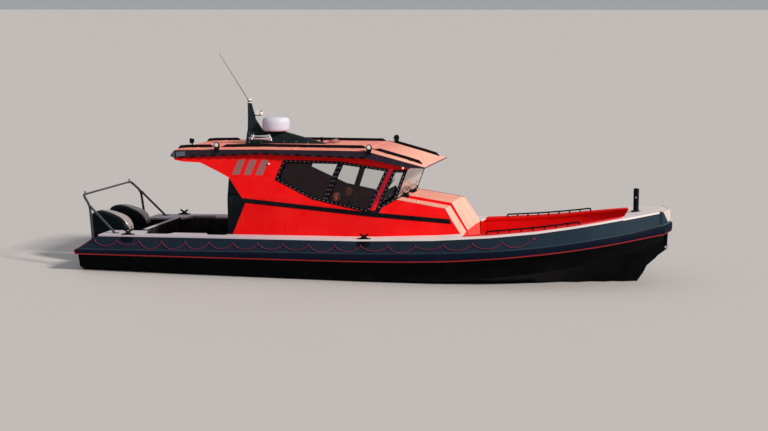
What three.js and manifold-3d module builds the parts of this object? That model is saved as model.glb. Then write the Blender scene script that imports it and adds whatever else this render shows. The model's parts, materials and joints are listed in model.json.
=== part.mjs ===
// Inshore rescue boat, 12 m long: a deep-V hull with a foam collar, a faceted wheelhouse
// and two outboards that steer and tilt. Millimetres, X forward, Y to port. Heights are above
// a base line 250 mm under the waterline, and the group is lowered by that much, so the boat's
// origin is amidships on the centreline at the waterline.
import * as THREE from "three";
import { mergeVertices } from "three/addons/utils/BufferGeometryUtils.js";
import Module from "manifold-3d";

const wasm = await Module();
wasm.setup();

// Driving dimensions
const GAP = 0.3; // between pieces that touch
const WATERLINE_Z = 250;
const DECK_Z = 600; // top of the aft deck and the cabin sole
const FOREDECK_Z = 850; // top of the fore cockpit's sole at its after end
const DECK_THICKNESS = 40;
const CAP_THICKNESS = 35; // side deck plate
const WALL = 40; // cabin walls, trunk and door leaf
const LINER = 35; // inner bulwark plate
const STERN_X = -5980;
const TRANSOM_X = -5440; // aft face of the transom
const TRANSOM_THICKNESS = 70;
const TRANSOM_TOP_Z = 470;
const WELL_FLOOR_Z = 360;
const WELL_HALF = 1000; // half breadth of the engine well
const BULKHEAD_X = [-4740, -4700]; // engine well bulkhead
const CABIN_AFT_X = -2780;
const STEP_X = 1990; // where the raised fore cockpit begins
const BOW_WELL_X = 5100; // forward end of the fore cockpit
const MOTOR_Y = 480;
const FAR = 9000; // beyond the boat in every direction

const COLOURS = {
  hull: [0x0c0d10, 0.45, 0],
  collar: [0x2c3744, 0.7, 0],
  red: [0xd81408, 0.35, 0],
  pale: [0xb9b2b4, 0.7, 0],
  black: [0x111216, 0.55, 0],
  fascia: [0x33363f, 0.5, 0],
  glass: [0x20262a, 0.08, 0],
  mast: [0x1f2d31, 0.5, 0],
  white: [0xe8e6e6, 0.35, 0],
  chrome: [0xc8ccd0, 0.15, 1],
  cowl: [0x23282d, 0.3, 0],
  rope: [0xa12c38, 0.8, 0],
  seat: [0x1b1c1f, 0.7, 0],
  deck: [0x2a2c30, 0.85, 0],
};
const MATERIALS = Object.fromEntries(
  Object.entries(COLOURS).map(([name, [color, roughness, metalness]]) => [
    name,
    new THREE.MeshStandardMaterial({ color, roughness, metalness }),
  ]),
);

// Solids
function toSolid(geometry) {
  const bare = geometry.index ? geometry.toNonIndexed() : geometry.clone();
  for (const extra of ["normal", "uv"]) bare.deleteAttribute(extra);
  const merged = mergeVertices(bare, 1e-3);
  const corners = merged.index.array;
  const kept = [];
  for (let i = 0; i < corners.length; i += 3) {
    const [a, b, c] = corners.slice(i, i + 3);
    if (a !== b && b !== c && a !== c) kept.push(a, b, c);
  }
  const make = (triangles) =>
    new wasm.Manifold(
      new wasm.Mesh({
        numProp: 3,
        vertProperties: new Float32Array(merged.attributes.position.array),
        triVerts: new Uint32Array(triangles),
      }),
    );
  const made = make(kept);
  return made.volume() < 0 ? make(kept.reverse()) : made;
}

const join = (...solids) => solids.reduce((whole, next) => whole.add(next));
const cut = (solid, ...tools) => tools.reduce((left, tool) => left.subtract(tool), solid);
const mirrored = (solid) => solid.mirror([0, 1, 0]);

const largest = (solid) => solid.decompose().sort((a, b) => b.volume() - a.volume())[0];

// A symmetrical solid from the port halves of its rings, each running from centreline to centreline.
function symmetricLoft(halves) {
  const overlap = -5;
  const rings = halves.map((half) => {
    const [first, last] = [half[0], half.at(-1)];
    return [[first[0], overlap, first[2]], ...half, [last[0], overlap, last[2]]];
  });
  const port = loft(rings);
  return port.add(mirrored(port));
}

// An outline pushed out along one axis. It is [x, z] along y, [y, z] along x and [x, y] along z.
const AXES = {
  x: [[0, 1, 0], [0, 0, 1], [1, 0, 0]],
  y: [[1, 0, 0], [0, 0, 1], [0, -1, 0]],
  z: [[1, 0, 0], [0, 1, 0], [0, 0, 1]],
};
function prism(axis, outline, from, to) {
  const shape = new THREE.Shape(outline.map(([a, b]) => new THREE.Vector2(a, b)));
  const geometry = new THREE.ExtrudeGeometry(shape, { depth: to - from, bevelEnabled: false });
  const [u, v, w] = AXES[axis].map((direction) => new THREE.Vector3(...direction));
  const start = w.clone().multiplyScalar(axis === "y" ? -to : from);
  geometry.applyMatrix4(new THREE.Matrix4().makeBasis(u, v, w).setPosition(start));
  return toSolid(geometry);
}

function box([x0, x1], [y0, y1], [z0, z1]) {
  const geometry = new THREE.BoxGeometry(x1 - x0, y1 - y0, z1 - z0);
  geometry.translate((x0 + x1) / 2, (y0 + y1) / 2, (z0 + z1) / 2);
  return toSolid(geometry);
}

// A skin over rings that have the same number of points, closed at both ends.
function loft(rings) {
  const count = rings[0].length;
  const points = rings.flat();
  const triangles = [];
  for (let k = 0; k + 1 < rings.length; k++)
    for (let j = 0; j < count; j++) {
      const next = (j + 1) % count;
      const [a, b, c, d] = [k * count + j, (k + 1) * count + j, (k + 1) * count + next, k * count + next];
      triangles.push([a, b, c], [a, c, d]);
    }
  triangles.push(...capOf(rings[0]));
  const last = (rings.length - 1) * count;
  triangles.push(...capOf(rings.at(-1)).map(([a, b, c]) => [last + a, last + c, last + b]));
  const geometry = new THREE.BufferGeometry();
  geometry.setAttribute("position", new THREE.Float32BufferAttribute(points.flat(), 3));
  geometry.setIndex(triangles.flat());
  return toSolid(geometry);
}

// Triangles that fill a ring, all wound the way the ring runs.
function capOf(ring) {
  const spread = [0, 1, 2].map((i) => {
    const values = ring.map((p) => p[i]);
    return Math.max(...values) - Math.min(...values);
  });
  const flatAxis = spread.indexOf(Math.min(...spread));
  const [u, v] = [0, 1, 2].filter((i) => i !== flatAxis);
  const flat = ring.map((p) => new THREE.Vector2(p[u], p[v]));
  const way = Math.sign(THREE.ShapeUtils.area(flat));
  return THREE.ShapeUtils.triangulateShape(flat, []).map(([a, b, c]) => {
    const turn = Math.sign(THREE.ShapeUtils.area([flat[a], flat[b], flat[c]]));
    return turn === way ? [a, b, c] : [a, c, b];
  });
}

function circle(radius, sides) {
  const points = [];
  for (let i = 0; i < sides; i++) {
    const angle = ((i + 0.5) * 2 * Math.PI) / sides;
    points.push(new THREE.Vector2(radius * Math.cos(angle), radius * Math.sin(angle)));
  }
  return new THREE.Shape(points);
}

// A round bar along straight runs whose corners are rounded off.
function bentTube(points, radius, { sides = 8, bend = 90, steps = 24 } = {}) {
  const path = new THREE.CurvePath();
  const corners = points.map((p) => new THREE.Vector3(...p));
  let from = corners[0];
  for (let i = 1; i + 1 < corners.length; i++) {
    const [before, corner, after] = [corners[i - 1], corners[i], corners[i + 1]];
    const start = corner.clone().add(before.clone().sub(corner).setLength(bend));
    const end = corner.clone().add(after.clone().sub(corner).setLength(bend));
    path.add(new THREE.LineCurve3(from, start));
    path.add(new THREE.QuadraticBezierCurve3(start, corner, end));
    from = end;
  }
  path.add(new THREE.LineCurve3(from, corners.at(-1)));
  return sweep(path, radius, steps, sides);
}

function sweep(path, radius, steps, sides = 8) {
  return toSolid(new THREE.ExtrudeGeometry(circle(radius, sides), { steps, extrudePath: path }));
}

function rod(from, to, radius, sides = 10, endRadius = radius) {
  const [a, b] = [new THREE.Vector3(...from), new THREE.Vector3(...to)];
  const along = b.clone().sub(a);
  const geometry = new THREE.CylinderGeometry(endRadius, radius, along.length(), sides);
  const up = new THREE.Vector3(0, 1, 0);
  geometry.applyQuaternion(new THREE.Quaternion().setFromUnitVectors(up, along.normalize()));
  geometry.translate(...a.add(b).multiplyScalar(0.5).toArray());
  return toSolid(geometry);
}

// A turned piece whose profile is [radius, height], standing on [x, y, z].
function turned(profile, [x, y, z], segments = 20) {
  const geometry = new THREE.LatheGeometry(profile.map(([r, h]) => new THREE.Vector2(r, h)), segments);
  geometry.rotateX(Math.PI / 2);
  geometry.translate(x, y, z);
  return toSolid(geometry);
}

// The value of one column at x, on straight lines between a table's rows.
function atX(rows, x, column) {
  if (x <= rows[0].x) return rows[0][column];
  for (let i = 1; i < rows.length; i++)
    if (x <= rows[i].x) {
      const share = (x - rows[i - 1].x) / (rows[i].x - rows[i - 1].x);
      return rows[i - 1][column] + share * (rows[i][column] - rows[i - 1][column]);
    }
  return rows.at(-1)[column];
}

// All that lies between two heights measured from a table's line, right across the boat.
function slab(rows, column, low, high) {
  const ends = [{ ...rows[0], x: -FAR }, ...rows, { ...rows.at(-1), x: FAR }];
  const line = (shift) => ends.map((row) => [row.x, row[column] + shift]);
  return prism("y", [...line(low), ...line(high).reverse()], -FAR, FAR);
}

function insetOutline(outline, distance) {
  const points = outline.map(([a, b]) => new THREE.Vector2(a, b));
  const way = THREE.ShapeUtils.area(points) > 0 ? 1 : -1;
  const lines = points.map((p, i) => {
    const along = points[(i + 1) % points.length].clone().sub(p).normalize();
    const inward = new THREE.Vector2(-along.y, along.x).multiplyScalar(way * distance);
    return { p: p.clone().add(inward), along };
  });
  return lines.map((line, i) => {
    const before = lines[(i + lines.length - 1) % lines.length];
    const cross = before.along.x * line.along.y - before.along.y * line.along.x;
    const between = line.p.clone().sub(before.p);
    const t = (between.x * line.along.y - between.y * line.along.x) / cross;
    return [before.p.x + before.along.x * t, before.p.y + before.along.y * t];
  });
}

const boat = new THREE.Group();
boat.position.z = -WATERLINE_Z;
function addPiece(name, solid, material) {
  const { vertProperties, triVerts } = solid.getMesh();
  const geometry = new THREE.BufferGeometry();
  geometry.setAttribute("position", new THREE.BufferAttribute(vertProperties, 3));
  geometry.setIndex(new THREE.BufferAttribute(triVerts, 1));
  geometry.computeVertexNormals();
  const mesh = new THREE.Mesh(geometry, MATERIALS[material]);
  mesh.name = name;
  boat.add(mesh);
}
function addPair(name, starboardSolid, material) {
  addPiece(`${name}_starboard`, starboardSolid, material);
  addPiece(`${name}_port`, mirrored(starboardSolid), material);
}

// Lines of the hull, from the stern forward. Each is a half breadth or a height at x.
const KEEL_HALF = 60;
const SECTIONS = [
  // x, keel height, chine half breadth and height, ledge half breadth and height
  [STERN_X, -295, 1440, 330, 1530, 612],
  [-4000, -298, 1495, 315, 1600, 640],
  [-2000, -300, 1505, 305, 1620, 665],
  [0, -300, 1495, 300, 1620, 690],
  [1500, -297, 1440, 330, 1590, 735],
  [2600, -285, 1320, 400, 1510, 812],
  [3500, -245, 1130, 505, 1365, 905],
  [4200, -180, 900, 635, 1185, 995],
  [4700, -95, 700, 750, 1005, 1070],
  [5080, 20, 520, 850, 815, 1130],
  [5300, 200, 410, 910, 675, 1165],
  [5450, 420, 330, 955, 575, 1190],
  [5520, 570, 295, 975, 530, 1200],
  [5690, 730, 190, 1025, 415, 1225],
  [5790, 850, 110, 1060, 190, 1240],
  [5835, 930, 50, 1080, 70, 1246],
].map(([x, keelZ, chineY, chineZ, ledgeY, ledgeZ]) => ({ x, keelZ, chineY, chineZ, ledgeY, ledgeZ }));

function hullRing({ x, keelZ, chineY, chineZ, ledgeY, ledgeZ }) {
  const keelY = Math.min(KEEL_HALF, 0.4 * chineY);
  const chineFlat = 0.06 * chineY;
  const half = [
    [keelY, keelZ],
    [chineY - chineFlat, chineZ - 0.5 * chineFlat],
    [chineY, chineZ],
    [ledgeY, ledgeZ],
  ];
  return half.map(([y, z]) => [x, y, z]);
}

// Sheer: the top of the side decks. Knee: the lower edge of the collar's flat upper panel.
const SHEER = [
  [-5470, 1037, 755],
  [-4000, 1072, 795],
  [-2000, 1102, 845],
  [0, 1135, 882],
  [1500, 1190, 935],
  [2600, 1268, 1000],
  [3500, 1360, 1085],
  [4200, 1460, 1180],
  [4700, 1540, 1260],
  [5150, 1612, 1335],
  [5740, 1702, 1455],
  [6000, 1730, 1490],
].map(([x, capZ, kneeZ]) => ({ x, capZ, kneeZ }));

// The ledge that carries the collar, seen from above, from the stern to the nose.
const LEDGE_PATH = [
  [STERN_X, 1530],
  [-5470, 1548],
  [-4000, 1600],
  [-2000, 1620],
  [0, 1620],
  [1500, 1590],
  [2600, 1510],
  [3500, 1365],
  [4200, 1185],
  [4700, 1005],
  [5150, 785],
  [5735, 385],
  [5835, 0],
];
const CAP_REACH = 90; // side deck edge, outboard of the ledge's edge
const COLLAR = { depth: 230, bulge: 180, bowBulge: 160, panelFoot: 55, panelHead: 4 };

// Points along the ledge with the mitred normal that offsets are measured on.
const LEDGE_STATIONS = LEDGE_PATH.map((point, i) => {
  const outward = ([x0, y0], [x1, y1]) => new THREE.Vector2(y0 - y1, x1 - x0).normalize();
  const before = i > 0 ? outward(LEDGE_PATH[i - 1], point) : new THREE.Vector2(0, 1);
  const after = i + 1 < LEDGE_PATH.length ? outward(point, LEDGE_PATH[i + 1]) : new THREE.Vector2(1, 0);
  const normal = before.clone().add(after).divideScalar(1 + before.dot(after));
  return { x: point[0], y: point[1], normal: point[1] === 0 ? new THREE.Vector2(1, 0) : normal };
});
const offsetPoint = ({ x, y, normal }, distance) => [x + normal.x * distance, y + normal.y * distance];
const ledgeZAt = (x) => atX(SECTIONS, x, "ledgeZ");
const capZAt = (x) => atX(SHEER, x, "capZ");
const kneeZAt = (x) => atX(SHEER, x, "kneeZ");
const bulgeAt = (x) => (x > 5000 ? COLLAR.bowBulge : COLLAR.bulge);

function sideYAt(x, distance) {
  const line = LEDGE_STATIONS.map((station) => offsetPoint(station, distance));
  return atX(line.map(([px, y]) => ({ x: px, y })), x, "y");
}

// How far the collar's flat upper panel stands outboard of the ledge at a height.
function panelDistance(x, z) {
  const [low, high] = [kneeZAt(x), capZAt(x) - CAP_THICKNESS];
  const [foot, head] = [bulgeAt(x) - COLLAR.panelFoot, CAP_REACH - COLLAR.panelHead];
  return foot + ((head - foot) * (z - low)) / (high - low);
}

function collarBlank() {
  const rings = LEDGE_STATIONS.map((station) => {
    const stripeZ = ledgeZAt(station.x) + GAP;
    const topZ = capZAt(station.x) - CAP_THICKNESS - GAP;
    const kneeZ = kneeZAt(station.x);
    const bulge = bulgeAt(station.x);
    const profile = [
      [-COLLAR.depth, stripeZ],
      [-COLLAR.depth, topZ],
      [CAP_REACH - COLLAR.panelHead, topZ],
      [bulge - COLLAR.panelFoot, kneeZ],
      [bulge - 14, kneeZ - 16],
      [bulge, kneeZ - 50],
      [bulge, stripeZ + 80],
      [bulge - 18, stripeZ + 32],
      [bulge - 60, stripeZ],
    ];
    return profile.map(([distance, z]) => {
      const [x, y] = offsetPoint(station, distance);
      return [x, -Math.max(y, GAP / 2), z];
    });
  });
  return loft(rings);
}

// The slope that trims the after end of the collar and what stands inboard of it.
const STERN_SLOPE = [[-5470, 1037], [-5990, 700]].map(([x, z]) => ({ x, z }));
function beyondSlope(low, high) {
  const [top, foot] = STERN_SLOPE;
  const [run, rise] = [top.x - foot.x, top.z - foot.z];
  const ends = [
    { x: foot.x - run, z: foot.z - rise },
    { x: top.x + run, z: top.z + rise },
  ];
  const line = (shift) => ends.map(({ x, z }) => [x, z + shift]);
  return prism("y", [...line(low), ...line(high).reverse()], -FAR, FAR);
}

// Inner edge of the side decks: engine well, quarter deck, side step, cabin side, fore cockpit.
const CAP_INNER = [
  [-5470, 985],
  [-4660, 985],
  [-4530, 1430],
  [-4040, 1430],
  [-3950, 1240],
  [-3270, 1240],
  [-3180, 1430],
  [CABIN_AFT_X - 30, 1430],
  [CABIN_AFT_X - 10, 1290],
  [480, 1260],
  [STEP_X + 10, 1040],
  [STEP_X + 30, 1040],
  [STEP_X + 50, 1290],
  [2600, 1215],
  [3500, 1075],
  [4200, 905],
  [4700, 740],
  [BOW_WELL_X, 560],
].map(([x, y]) => ({ x, y }));
const FORE_SOLE = [[STEP_X, FOREDECK_Z], [3500, FOREDECK_Z], [5200, 1110]].map(([x, z]) => ({ x, z }));
const LIP = 20; // how far the side decks overhang the bulwarks
const AFT_ROOM = 1465; // half breadth to the outside of the aft bulwarks
const AFT_BULWARK_END = CABIN_AFT_X - 10;

// A stretch of the side decks' inner edge, moved outboard.
function innerEdge(fromX, toX, distance) {
  const between = CAP_INNER.filter(({ x }) => x > fromX && x < toX).map(({ x, y }) => [x, y + distance]);
  const end = (x) => [x, atX(CAP_INNER, x, "y") + distance];
  return [end(fromX), ...between, end(toX)];
}

// The fore cockpit's plan, with its straight after end at fromX.
function foreWell(fromX, toX, distance) {
  const edge = innerEdge(STEP_X + 50, toX, distance);
  const port = [[fromX, edge[0][1]], ...edge];
  return [...port, ...port.map(([x, y]) => [x, -y]).reverse()];
}

// Flat plate at the top of the stem, seen from the side, that the towing eye goes through.
const STEM_HEAD = { half: 28, outline: [[5600, 1000], [5760, 935], [5905, 965], [5915, 1225], [5700, 1225]] };
function buildHull() {
  const body = symmetricLoft(SECTIONS.map(hullRing));
  const stemHead = prism("y", STEM_HEAD.outline, -STEM_HEAD.half, STEM_HEAD.half);
  const room = [-AFT_ROOM - GAP, AFT_ROOM + GAP];
  const sole = box([BULKHEAD_X[1], STEP_X], room, [DECK_Z - DECK_THICKNESS, FAR]);
  const plan = foreWell(STEP_X - 1, BOW_WELL_X + LINER, LIP + LINER + GAP);
  const foreSole = prism("z", plan, 0, FAR).intersect(slab(FORE_SOLE, "z", -DECK_THICKNESS, FAR));
  const across = [-WELL_HALF, WELL_HALF];
  const transomFore = TRANSOM_X + TRANSOM_THICKNESS;
  const well = box([transomFore, BULKHEAD_X[1] + 1], across, [WELL_FLOOR_Z, FAR]);
  const transomTop = box([TRANSOM_X - 10, transomFore + 1], across, [TRANSOM_TOP_Z, FAR]);
  const notch = box([-FAR, TRANSOM_X], across, [-FAR, FAR]);
  return cut(join(body, stemHead), sole, foreSole, well, transomTop, notch);
}

function buildCollar() {
  const underLedge = slab(SECTIONS, "ledgeZ", -FAR, GAP);
  const roomAcross = [-AFT_ROOM - GAP, AFT_ROOM + GAP];
  const aftRoom = box([BULKHEAD_X[0], AFT_BULWARK_END + GAP], roomAcross, [0, FAR]);
  const plan = foreWell(STEP_X - 5, BOW_WELL_X + LINER + GAP, LIP + LINER + GAP);
  const overSheer = slab(SHEER, "capZ", -CAP_THICKNESS - GAP, FAR);
  return cut(collarBlank(), underLedge, overSheer, aftRoom, prism("z", plan, 0, FAR), beyondSlope(0, FAR));
}

// Cross bollards on the edge of the side decks.
const CLEAT_X = [-4830, 140];
function crossBollard(x) {
  const [y, z] = [-sideYAt(x, CAP_REACH - 60), capZAt(x)];
  const foot = box([x - 120, x + 120], [y - 38, y + 38], [z - 10, z + 14]);
  const arms = [-1, 1].map((way) => rod([x - 75 * way, y, z + 8], [x + 85 * way, y, z + 98], 15, 8));
  return join(foot, ...arms);
}

function buildSideDeck() {
  const xs = LEDGE_PATH.map(([x]) => x).filter((x) => x > -5470 && x < BOW_WELL_X);
  const outer = [-5470, ...xs, BOW_WELL_X].map((x) => [x, sideYAt(x, CAP_REACH)]);
  const plan = [...innerEdge(-5470, BOW_WELL_X, 0), ...outer.reverse()].map(([x, y]) => [x, -y]);
  const plate = prism("z", plan, 0, FAR).intersect(slab(SHEER, "capZ", -CAP_THICKNESS, 0));
  const cabinRoom = house(3).intersect(box([CABIN_AFT_X - 2, FAR], [-FAR, FAR], [0, FAR]));
  return join(cut(plate, cabinRoom), ...CLEAT_X.map(crossBollard));
}

function buildBowDeck() {
  const bow = LEDGE_STATIONS.filter(({ x }) => x > BOW_WELL_X);
  const edge = bow.map((station) => offsetPoint(station, CAP_REACH));
  const port = [[BOW_WELL_X + GAP, sideYAt(BOW_WELL_X, CAP_REACH)], ...edge];
  const plan = [...port, ...port.slice(0, -1).map(([x, y]) => [x, -y]).reverse()];
  return prism("z", plan, 0, FAR).intersect(slab(SHEER, "capZ", -CAP_THICKNESS, 0));
}

// Pale pad round the nose, on the flat panel above the collar's bulge.
const BOW_PAD = { x: 5722, y: 394, thickness: 22 };
function buildBowPad() {
  const [cheek, shoulder, nose] = LEDGE_STATIONS.slice(-3);
  const along = new THREE.Vector2(shoulder.x - cheek.x, shoulder.y - cheek.y).normalize();
  const start = { ...BOW_PAD, normal: new THREE.Vector2(-along.y, along.x) };
  const port = [start, shoulder, nose].map((station) => {
    const [low, high] = [kneeZAt(station.x) + 2, capZAt(station.x)];
    const [foot, head] = [bulgeAt(station.x) - COLLAR.panelFoot + 1, CAP_REACH + 1];
    const profile = [
      [foot, low],
      [foot + BOW_PAD.thickness, low],
      [head + BOW_PAD.thickness, high],
      [head, high],
    ];
    return profile.map(([distance, z]) => [...offsetPoint(station, distance), z]);
  });
  const starboard = port.slice(0, -1).map((ring) => ring.map(([x, y, z]) => [x, -y, z]));
  return loft([...port, ...starboard.reverse()]);
}

// Bulwark of the fore cockpit: sides, forward wall and the returns beside the trunk.
function buildForeBulwark() {
  const outside = foreWell(STEP_X + GAP, BOW_WELL_X + LINER, LIP + LINER);
  const inside = foreWell(STEP_X + LINER, BOW_WELL_X - LIP, LIP);
  const room = prism("z", inside, 0, FAR);
  const gate = box([STEP_X - 10, STEP_X + LINER + 1], [-1060, 1060], [0, FAR]);
  const wall = prism("z", outside, 0, FAR).intersect(slab(FORE_SOLE, "z", GAP, FAR));
  return cut(wall, room, gate, slab(SHEER, "capZ", -CAP_THICKNESS - GAP, FAR));
}

function buildForedeck() {
  const plan = foreWell(STEP_X + GAP, BOW_WELL_X + LINER - GAP, LIP + LINER - GAP);
  return prism("z", plan, 0, FAR).intersect(slab(FORE_SOLE, "z", GAP - DECK_THICKNESS, 0));
}

function buildDeck() {
  const [aft, fore] = [BULKHEAD_X[1] + GAP, STEP_X - GAP];
  return box([aft, fore], [-AFT_ROOM, AFT_ROOM], [DECK_Z - DECK_THICKNESS + GAP, DECK_Z]);
}

// Black bulwark of the aft cockpit with its side step and the quarter beside the engine well.
function buildAftBulwark() {
  const [aft, fore] = [BULKHEAD_X[1] + GAP, AFT_BULWARK_END];
  const inner = [[aft, WELL_HALF + 5], [-4660, WELL_HALF + 5], [-4400, 1260], [fore, 1260]];
  const plan = [...inner, [fore, AFT_ROOM], [aft, AFT_ROOM]];
  const quarterPlan = [[-5975, WELL_HALF], [-4640, WELL_HALF + 50], [-4640, 1290], [-5975, 1290]];
  const toStarboard = (outline) => outline.map(([x, y]) => [x, -y]);
  const cockpit = prism("z", toStarboard(plan), DECK_Z + GAP, FAR);
  const quarterBlock = prism("z", toStarboard(quarterPlan), 0, FAR);
  const quarter = cut(quarterBlock, slab(SECTIONS, "ledgeZ", -FAR, GAP));
  return cut(join(cockpit, quarter), slab(SHEER, "capZ", -CAP_THICKNESS - GAP, FAR), beyondSlope(0, FAR));
}

function buildWellBulkhead() {
  const [aft, fore] = BULKHEAD_X;
  const half = WELL_HALF - GAP;
  const plate = box([aft, fore - GAP], [-half, half], [WELL_FLOOR_Z + GAP, 1015]);
  const coaming = box([aft - 15, fore + 35], [-half + 20, half - 20], [1014, 1078]);
  return join(plate, coaming);
}

// Outboards, drawn about the tilt tube and the steering axis.
const TILT = { x: -5420, z: 540, tube: 20, hole: 21.1 };
const STEER = { x: -5655, barrel: 62, low: 142, high: 596 };
const PROP = { x: -6035, z: -320, reach: 195 };
const CHEEK = { spread: 135, half: 18 };
const SHOULDER = { reach: 34, half: CHEEK.spread - CHEEK.half - GAP }; // fills the space between the cheeks
const TRANSOM_FACE = TRANSOM_X - GAP;

function clampBracket(y) {
  const outline = [
    [TRANSOM_FACE, 110],
    [TRANSOM_FACE, TRANSOM_TOP_Z + GAP],
    [TRANSOM_X + 75, TRANSOM_TOP_Z + GAP],
    [TRANSOM_X + 75, 600],
    [-5475, 600],
    [-5530, 480],
    [-5540, 110],
  ];
  const cheeks = [-1, 1].map((side) => {
    const middle = y + side * CHEEK.spread;
    const hole = rod([TILT.x, middle - 40, TILT.z], [TILT.x, middle + 40, TILT.z], TILT.hole, 12);
    return cut(prism("y", outline, middle - CHEEK.half, middle + CHEEK.half), hole);
  });
  const plate = box([TRANSOM_FACE - 12, TRANSOM_FACE], [y - CHEEK.spread, y + CHEEK.spread], [120, 440]);
  return join(...cheeks, plate);
}

function swivelBracket(y) {
  const outline = [
    [-5478, 150],
    [-5470, 500],
    [-5405, 505],
    [-5405, 575],
    [-5540, 588],
    [-5600, 560],
    [-5600, 150],
  ];
  const keepClear = box([TRANSOM_FACE - 20, -5300], [y - 200, y + 200], [0, TRANSOM_TOP_Z + 30]);
  const acrossTilt = (half, reach) => rod([TILT.x, y - half, TILT.z], [TILT.x, y + half, TILT.z], reach, 12);
  const barrel = rod([STEER.x, y, STEER.low + GAP], [STEER.x, y, STEER.high - GAP], STEER.barrel, 14);
  const arm = cut(prism("y", outline, y - 95, y + 95), keepClear);
  return join(arm, acrossTilt(165, TILT.tube), acrossTilt(SHOULDER.half, SHOULDER.reach), barrel);
}

// A level of the leg: a flattened hexagon drawn out aft.
function legRing(z, lead, trail, half, y) {
  const length = lead - trail;
  const shape = [[lead, 0.25], [lead - 0.25 * length, 1], [lead - 0.7 * length, 1], [trail, 0.3]];
  const port = shape.map(([x, w]) => [x, y + w * half, z]);
  return [...port, ...shape.map(([x, w]) => [x, y - w * half, z]).reverse()];
}

const LEG_TOP_Z = 628;
const HUB_FRONT_X = -5985;
function motorLeg(y) {
  const levels = [
    // height, leading edge, trailing edge, half thickness
    [LEG_TOP_Z, -5500, -5960, 170],
    [STEER.high, -5520, -5940, 150],
    [500, -5735, -5920, 90],
    [140, -5735, -5905, 62],
    [-80, -5700, -5935, 55],
    [-200, -5640, -5940, 40],
    [-300, -5600, -5930, 45],
  ];
  const upper = loft(levels.slice(0, 2).map((level) => legRing(...level, y)));
  const neckLevels = [[STEER.high + 4, -5740, -5930, 110], ...levels.slice(2)];
  const neck = loft(neckLevels.map((level) => legRing(...level, y)));
  const lowerYoke = box([-5760, STEER.x + 30], [y - 50, y + 50], [STEER.low - 30, STEER.low]);
  const plateHalf = [[-5640, 40], [-5700, 100], [-5900, 120], [-6120, 95]];
  const plateSide = (way) => plateHalf.map(([x, w]) => [x, y + way * w]);
  const ventPlate = prism("z", [...plateSide(1), ...plateSide(-1).reverse()], -108, -92);
  const torpedo = [[0, HUB_FRONT_X], [60, HUB_FRONT_X], [66, -5900], [66, -5700], [50, -5560], [0, -5500]];
  const gearcase = turned(torpedo, [0, 0, 0], 14).rotate([0, 90, 0]).translate([0, y, PROP.z]);
  const skeg = loft([legRing(-330, -5640, -5930, 14, y), legRing(-600, -5760, -5900, 8, y)]);
  return join(upper, neck, lowerYoke, ventPlate, gearcase, skeg);
}

function motorCowl(y) {
  const frames = [
    // x, bottom, top, half width at the waist and at the shoulder
    [-5225, 760, 1000, 130, 120],
    [-5245, 650, 1085, 190, 165],
    [-5420, LEG_TOP_Z + GAP, 1235, 255, 215],
    [-5640, LEG_TOP_Z + GAP, 1350, 270, 225],
    [-5760, LEG_TOP_Z + GAP, 1382, 265, 215],
    [-5950, 640, 1362, 235, 180],
    [-6055, 760, 1310, 190, 130],
    [-6085, 900, 1250, 150, 90],
  ];
  const rings = frames.map(([x, low, high, wide, shoulder]) => {
    const rise = high - low;
    const half = [
      [0.75 * wide, low],
      [wide, low + 0.12 * rise],
      [wide, low + 0.45 * rise],
      [shoulder, low + 0.84 * rise],
      [0.5 * shoulder, high],
    ];
    return [...half.map(([w, z]) => [x, y + w, z]), ...half.map(([w, z]) => [x, y - w, z]).reverse()];
  });
  return loft(rings);
}

function propeller(y) {
  const front = HUB_FRONT_X - GAP;
  const hub = rod([front, y, PROP.z], [front - 120, y, PROP.z], 52, 14, 40);
  const blade = box([-7, 7], [-62, 62], [30, PROP.reach]).rotate([0, 0, 32]);
  const root = [PROP.x - 15, y, PROP.z];
  return join(hub, ...[0, 120, 240].map((angle) => blade.rotate([angle, 0, 0]).translate(root)));
}

// Wheelhouse: half plans at three heights, each with its after end, A-post, windscreen corner
// and the front of the trunk.
const WINDSCREEN = {
  x: 638,
  z: 1866,
  rake: 0.3684,
  low: 1905,
  high: 2440,
  post: 330,
  postHalf: 18,
  depth: 30, // of the frame
  glass: 8,
  lap: 15, // of the glass over the frame
  half: 915,
};
const windscreenX = (z) => WINDSCREEN.x + WINDSCREEN.rake * (z - WINDSCREEN.z);
const postX = (z) => 200 + 0.568 * (z - 1590);
const upperSideY = (x, z) => 1342 - 0.0249 * (x + 4200) - 0.2558 * (z - 1940);
const BROW_Z = 1870;
const ROOF_Z = 2850;
const HOUSE_AFT_X = -4200;
const screenCornerY = (z) => 1015 - 0.06 * (z - BROW_Z);
const levelAt = (z) => [
  [HOUSE_AFT_X, upperSideY(HOUSE_AFT_X, z), z],
  [postX(z), upperSideY(postX(z), z), z],
  [windscreenX(z), screenCornerY(z), z],
];
const LOWER_HOUSE = [
  [[HOUSE_AFT_X, 1300], [480, 1290], [800, 1245], [STEP_X, 1040]].map(([x, y]) => [x, y, DECK_Z + GAP]),
  [[HOUSE_AFT_X, 1342, 1940], [200, 1322, 1590], [620, 1250, 1556], [STEP_X, 1060, 1445]],
  [...levelAt(BROW_Z), [STEP_X, 930, BROW_Z]],
];
const UPPER_HOUSE = [levelAt(BROW_Z - 5), levelAt(ROOF_Z)];
function houseSolid(rows, out) {
  return symmetricLoft(rows.map((row) => row.map(([x, y, z]) => [x, y + out, z])));
}
const house = (out) => join(houseSolid(LOWER_HOUSE, out), houseSolid(UPPER_HOUSE, out));

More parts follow.
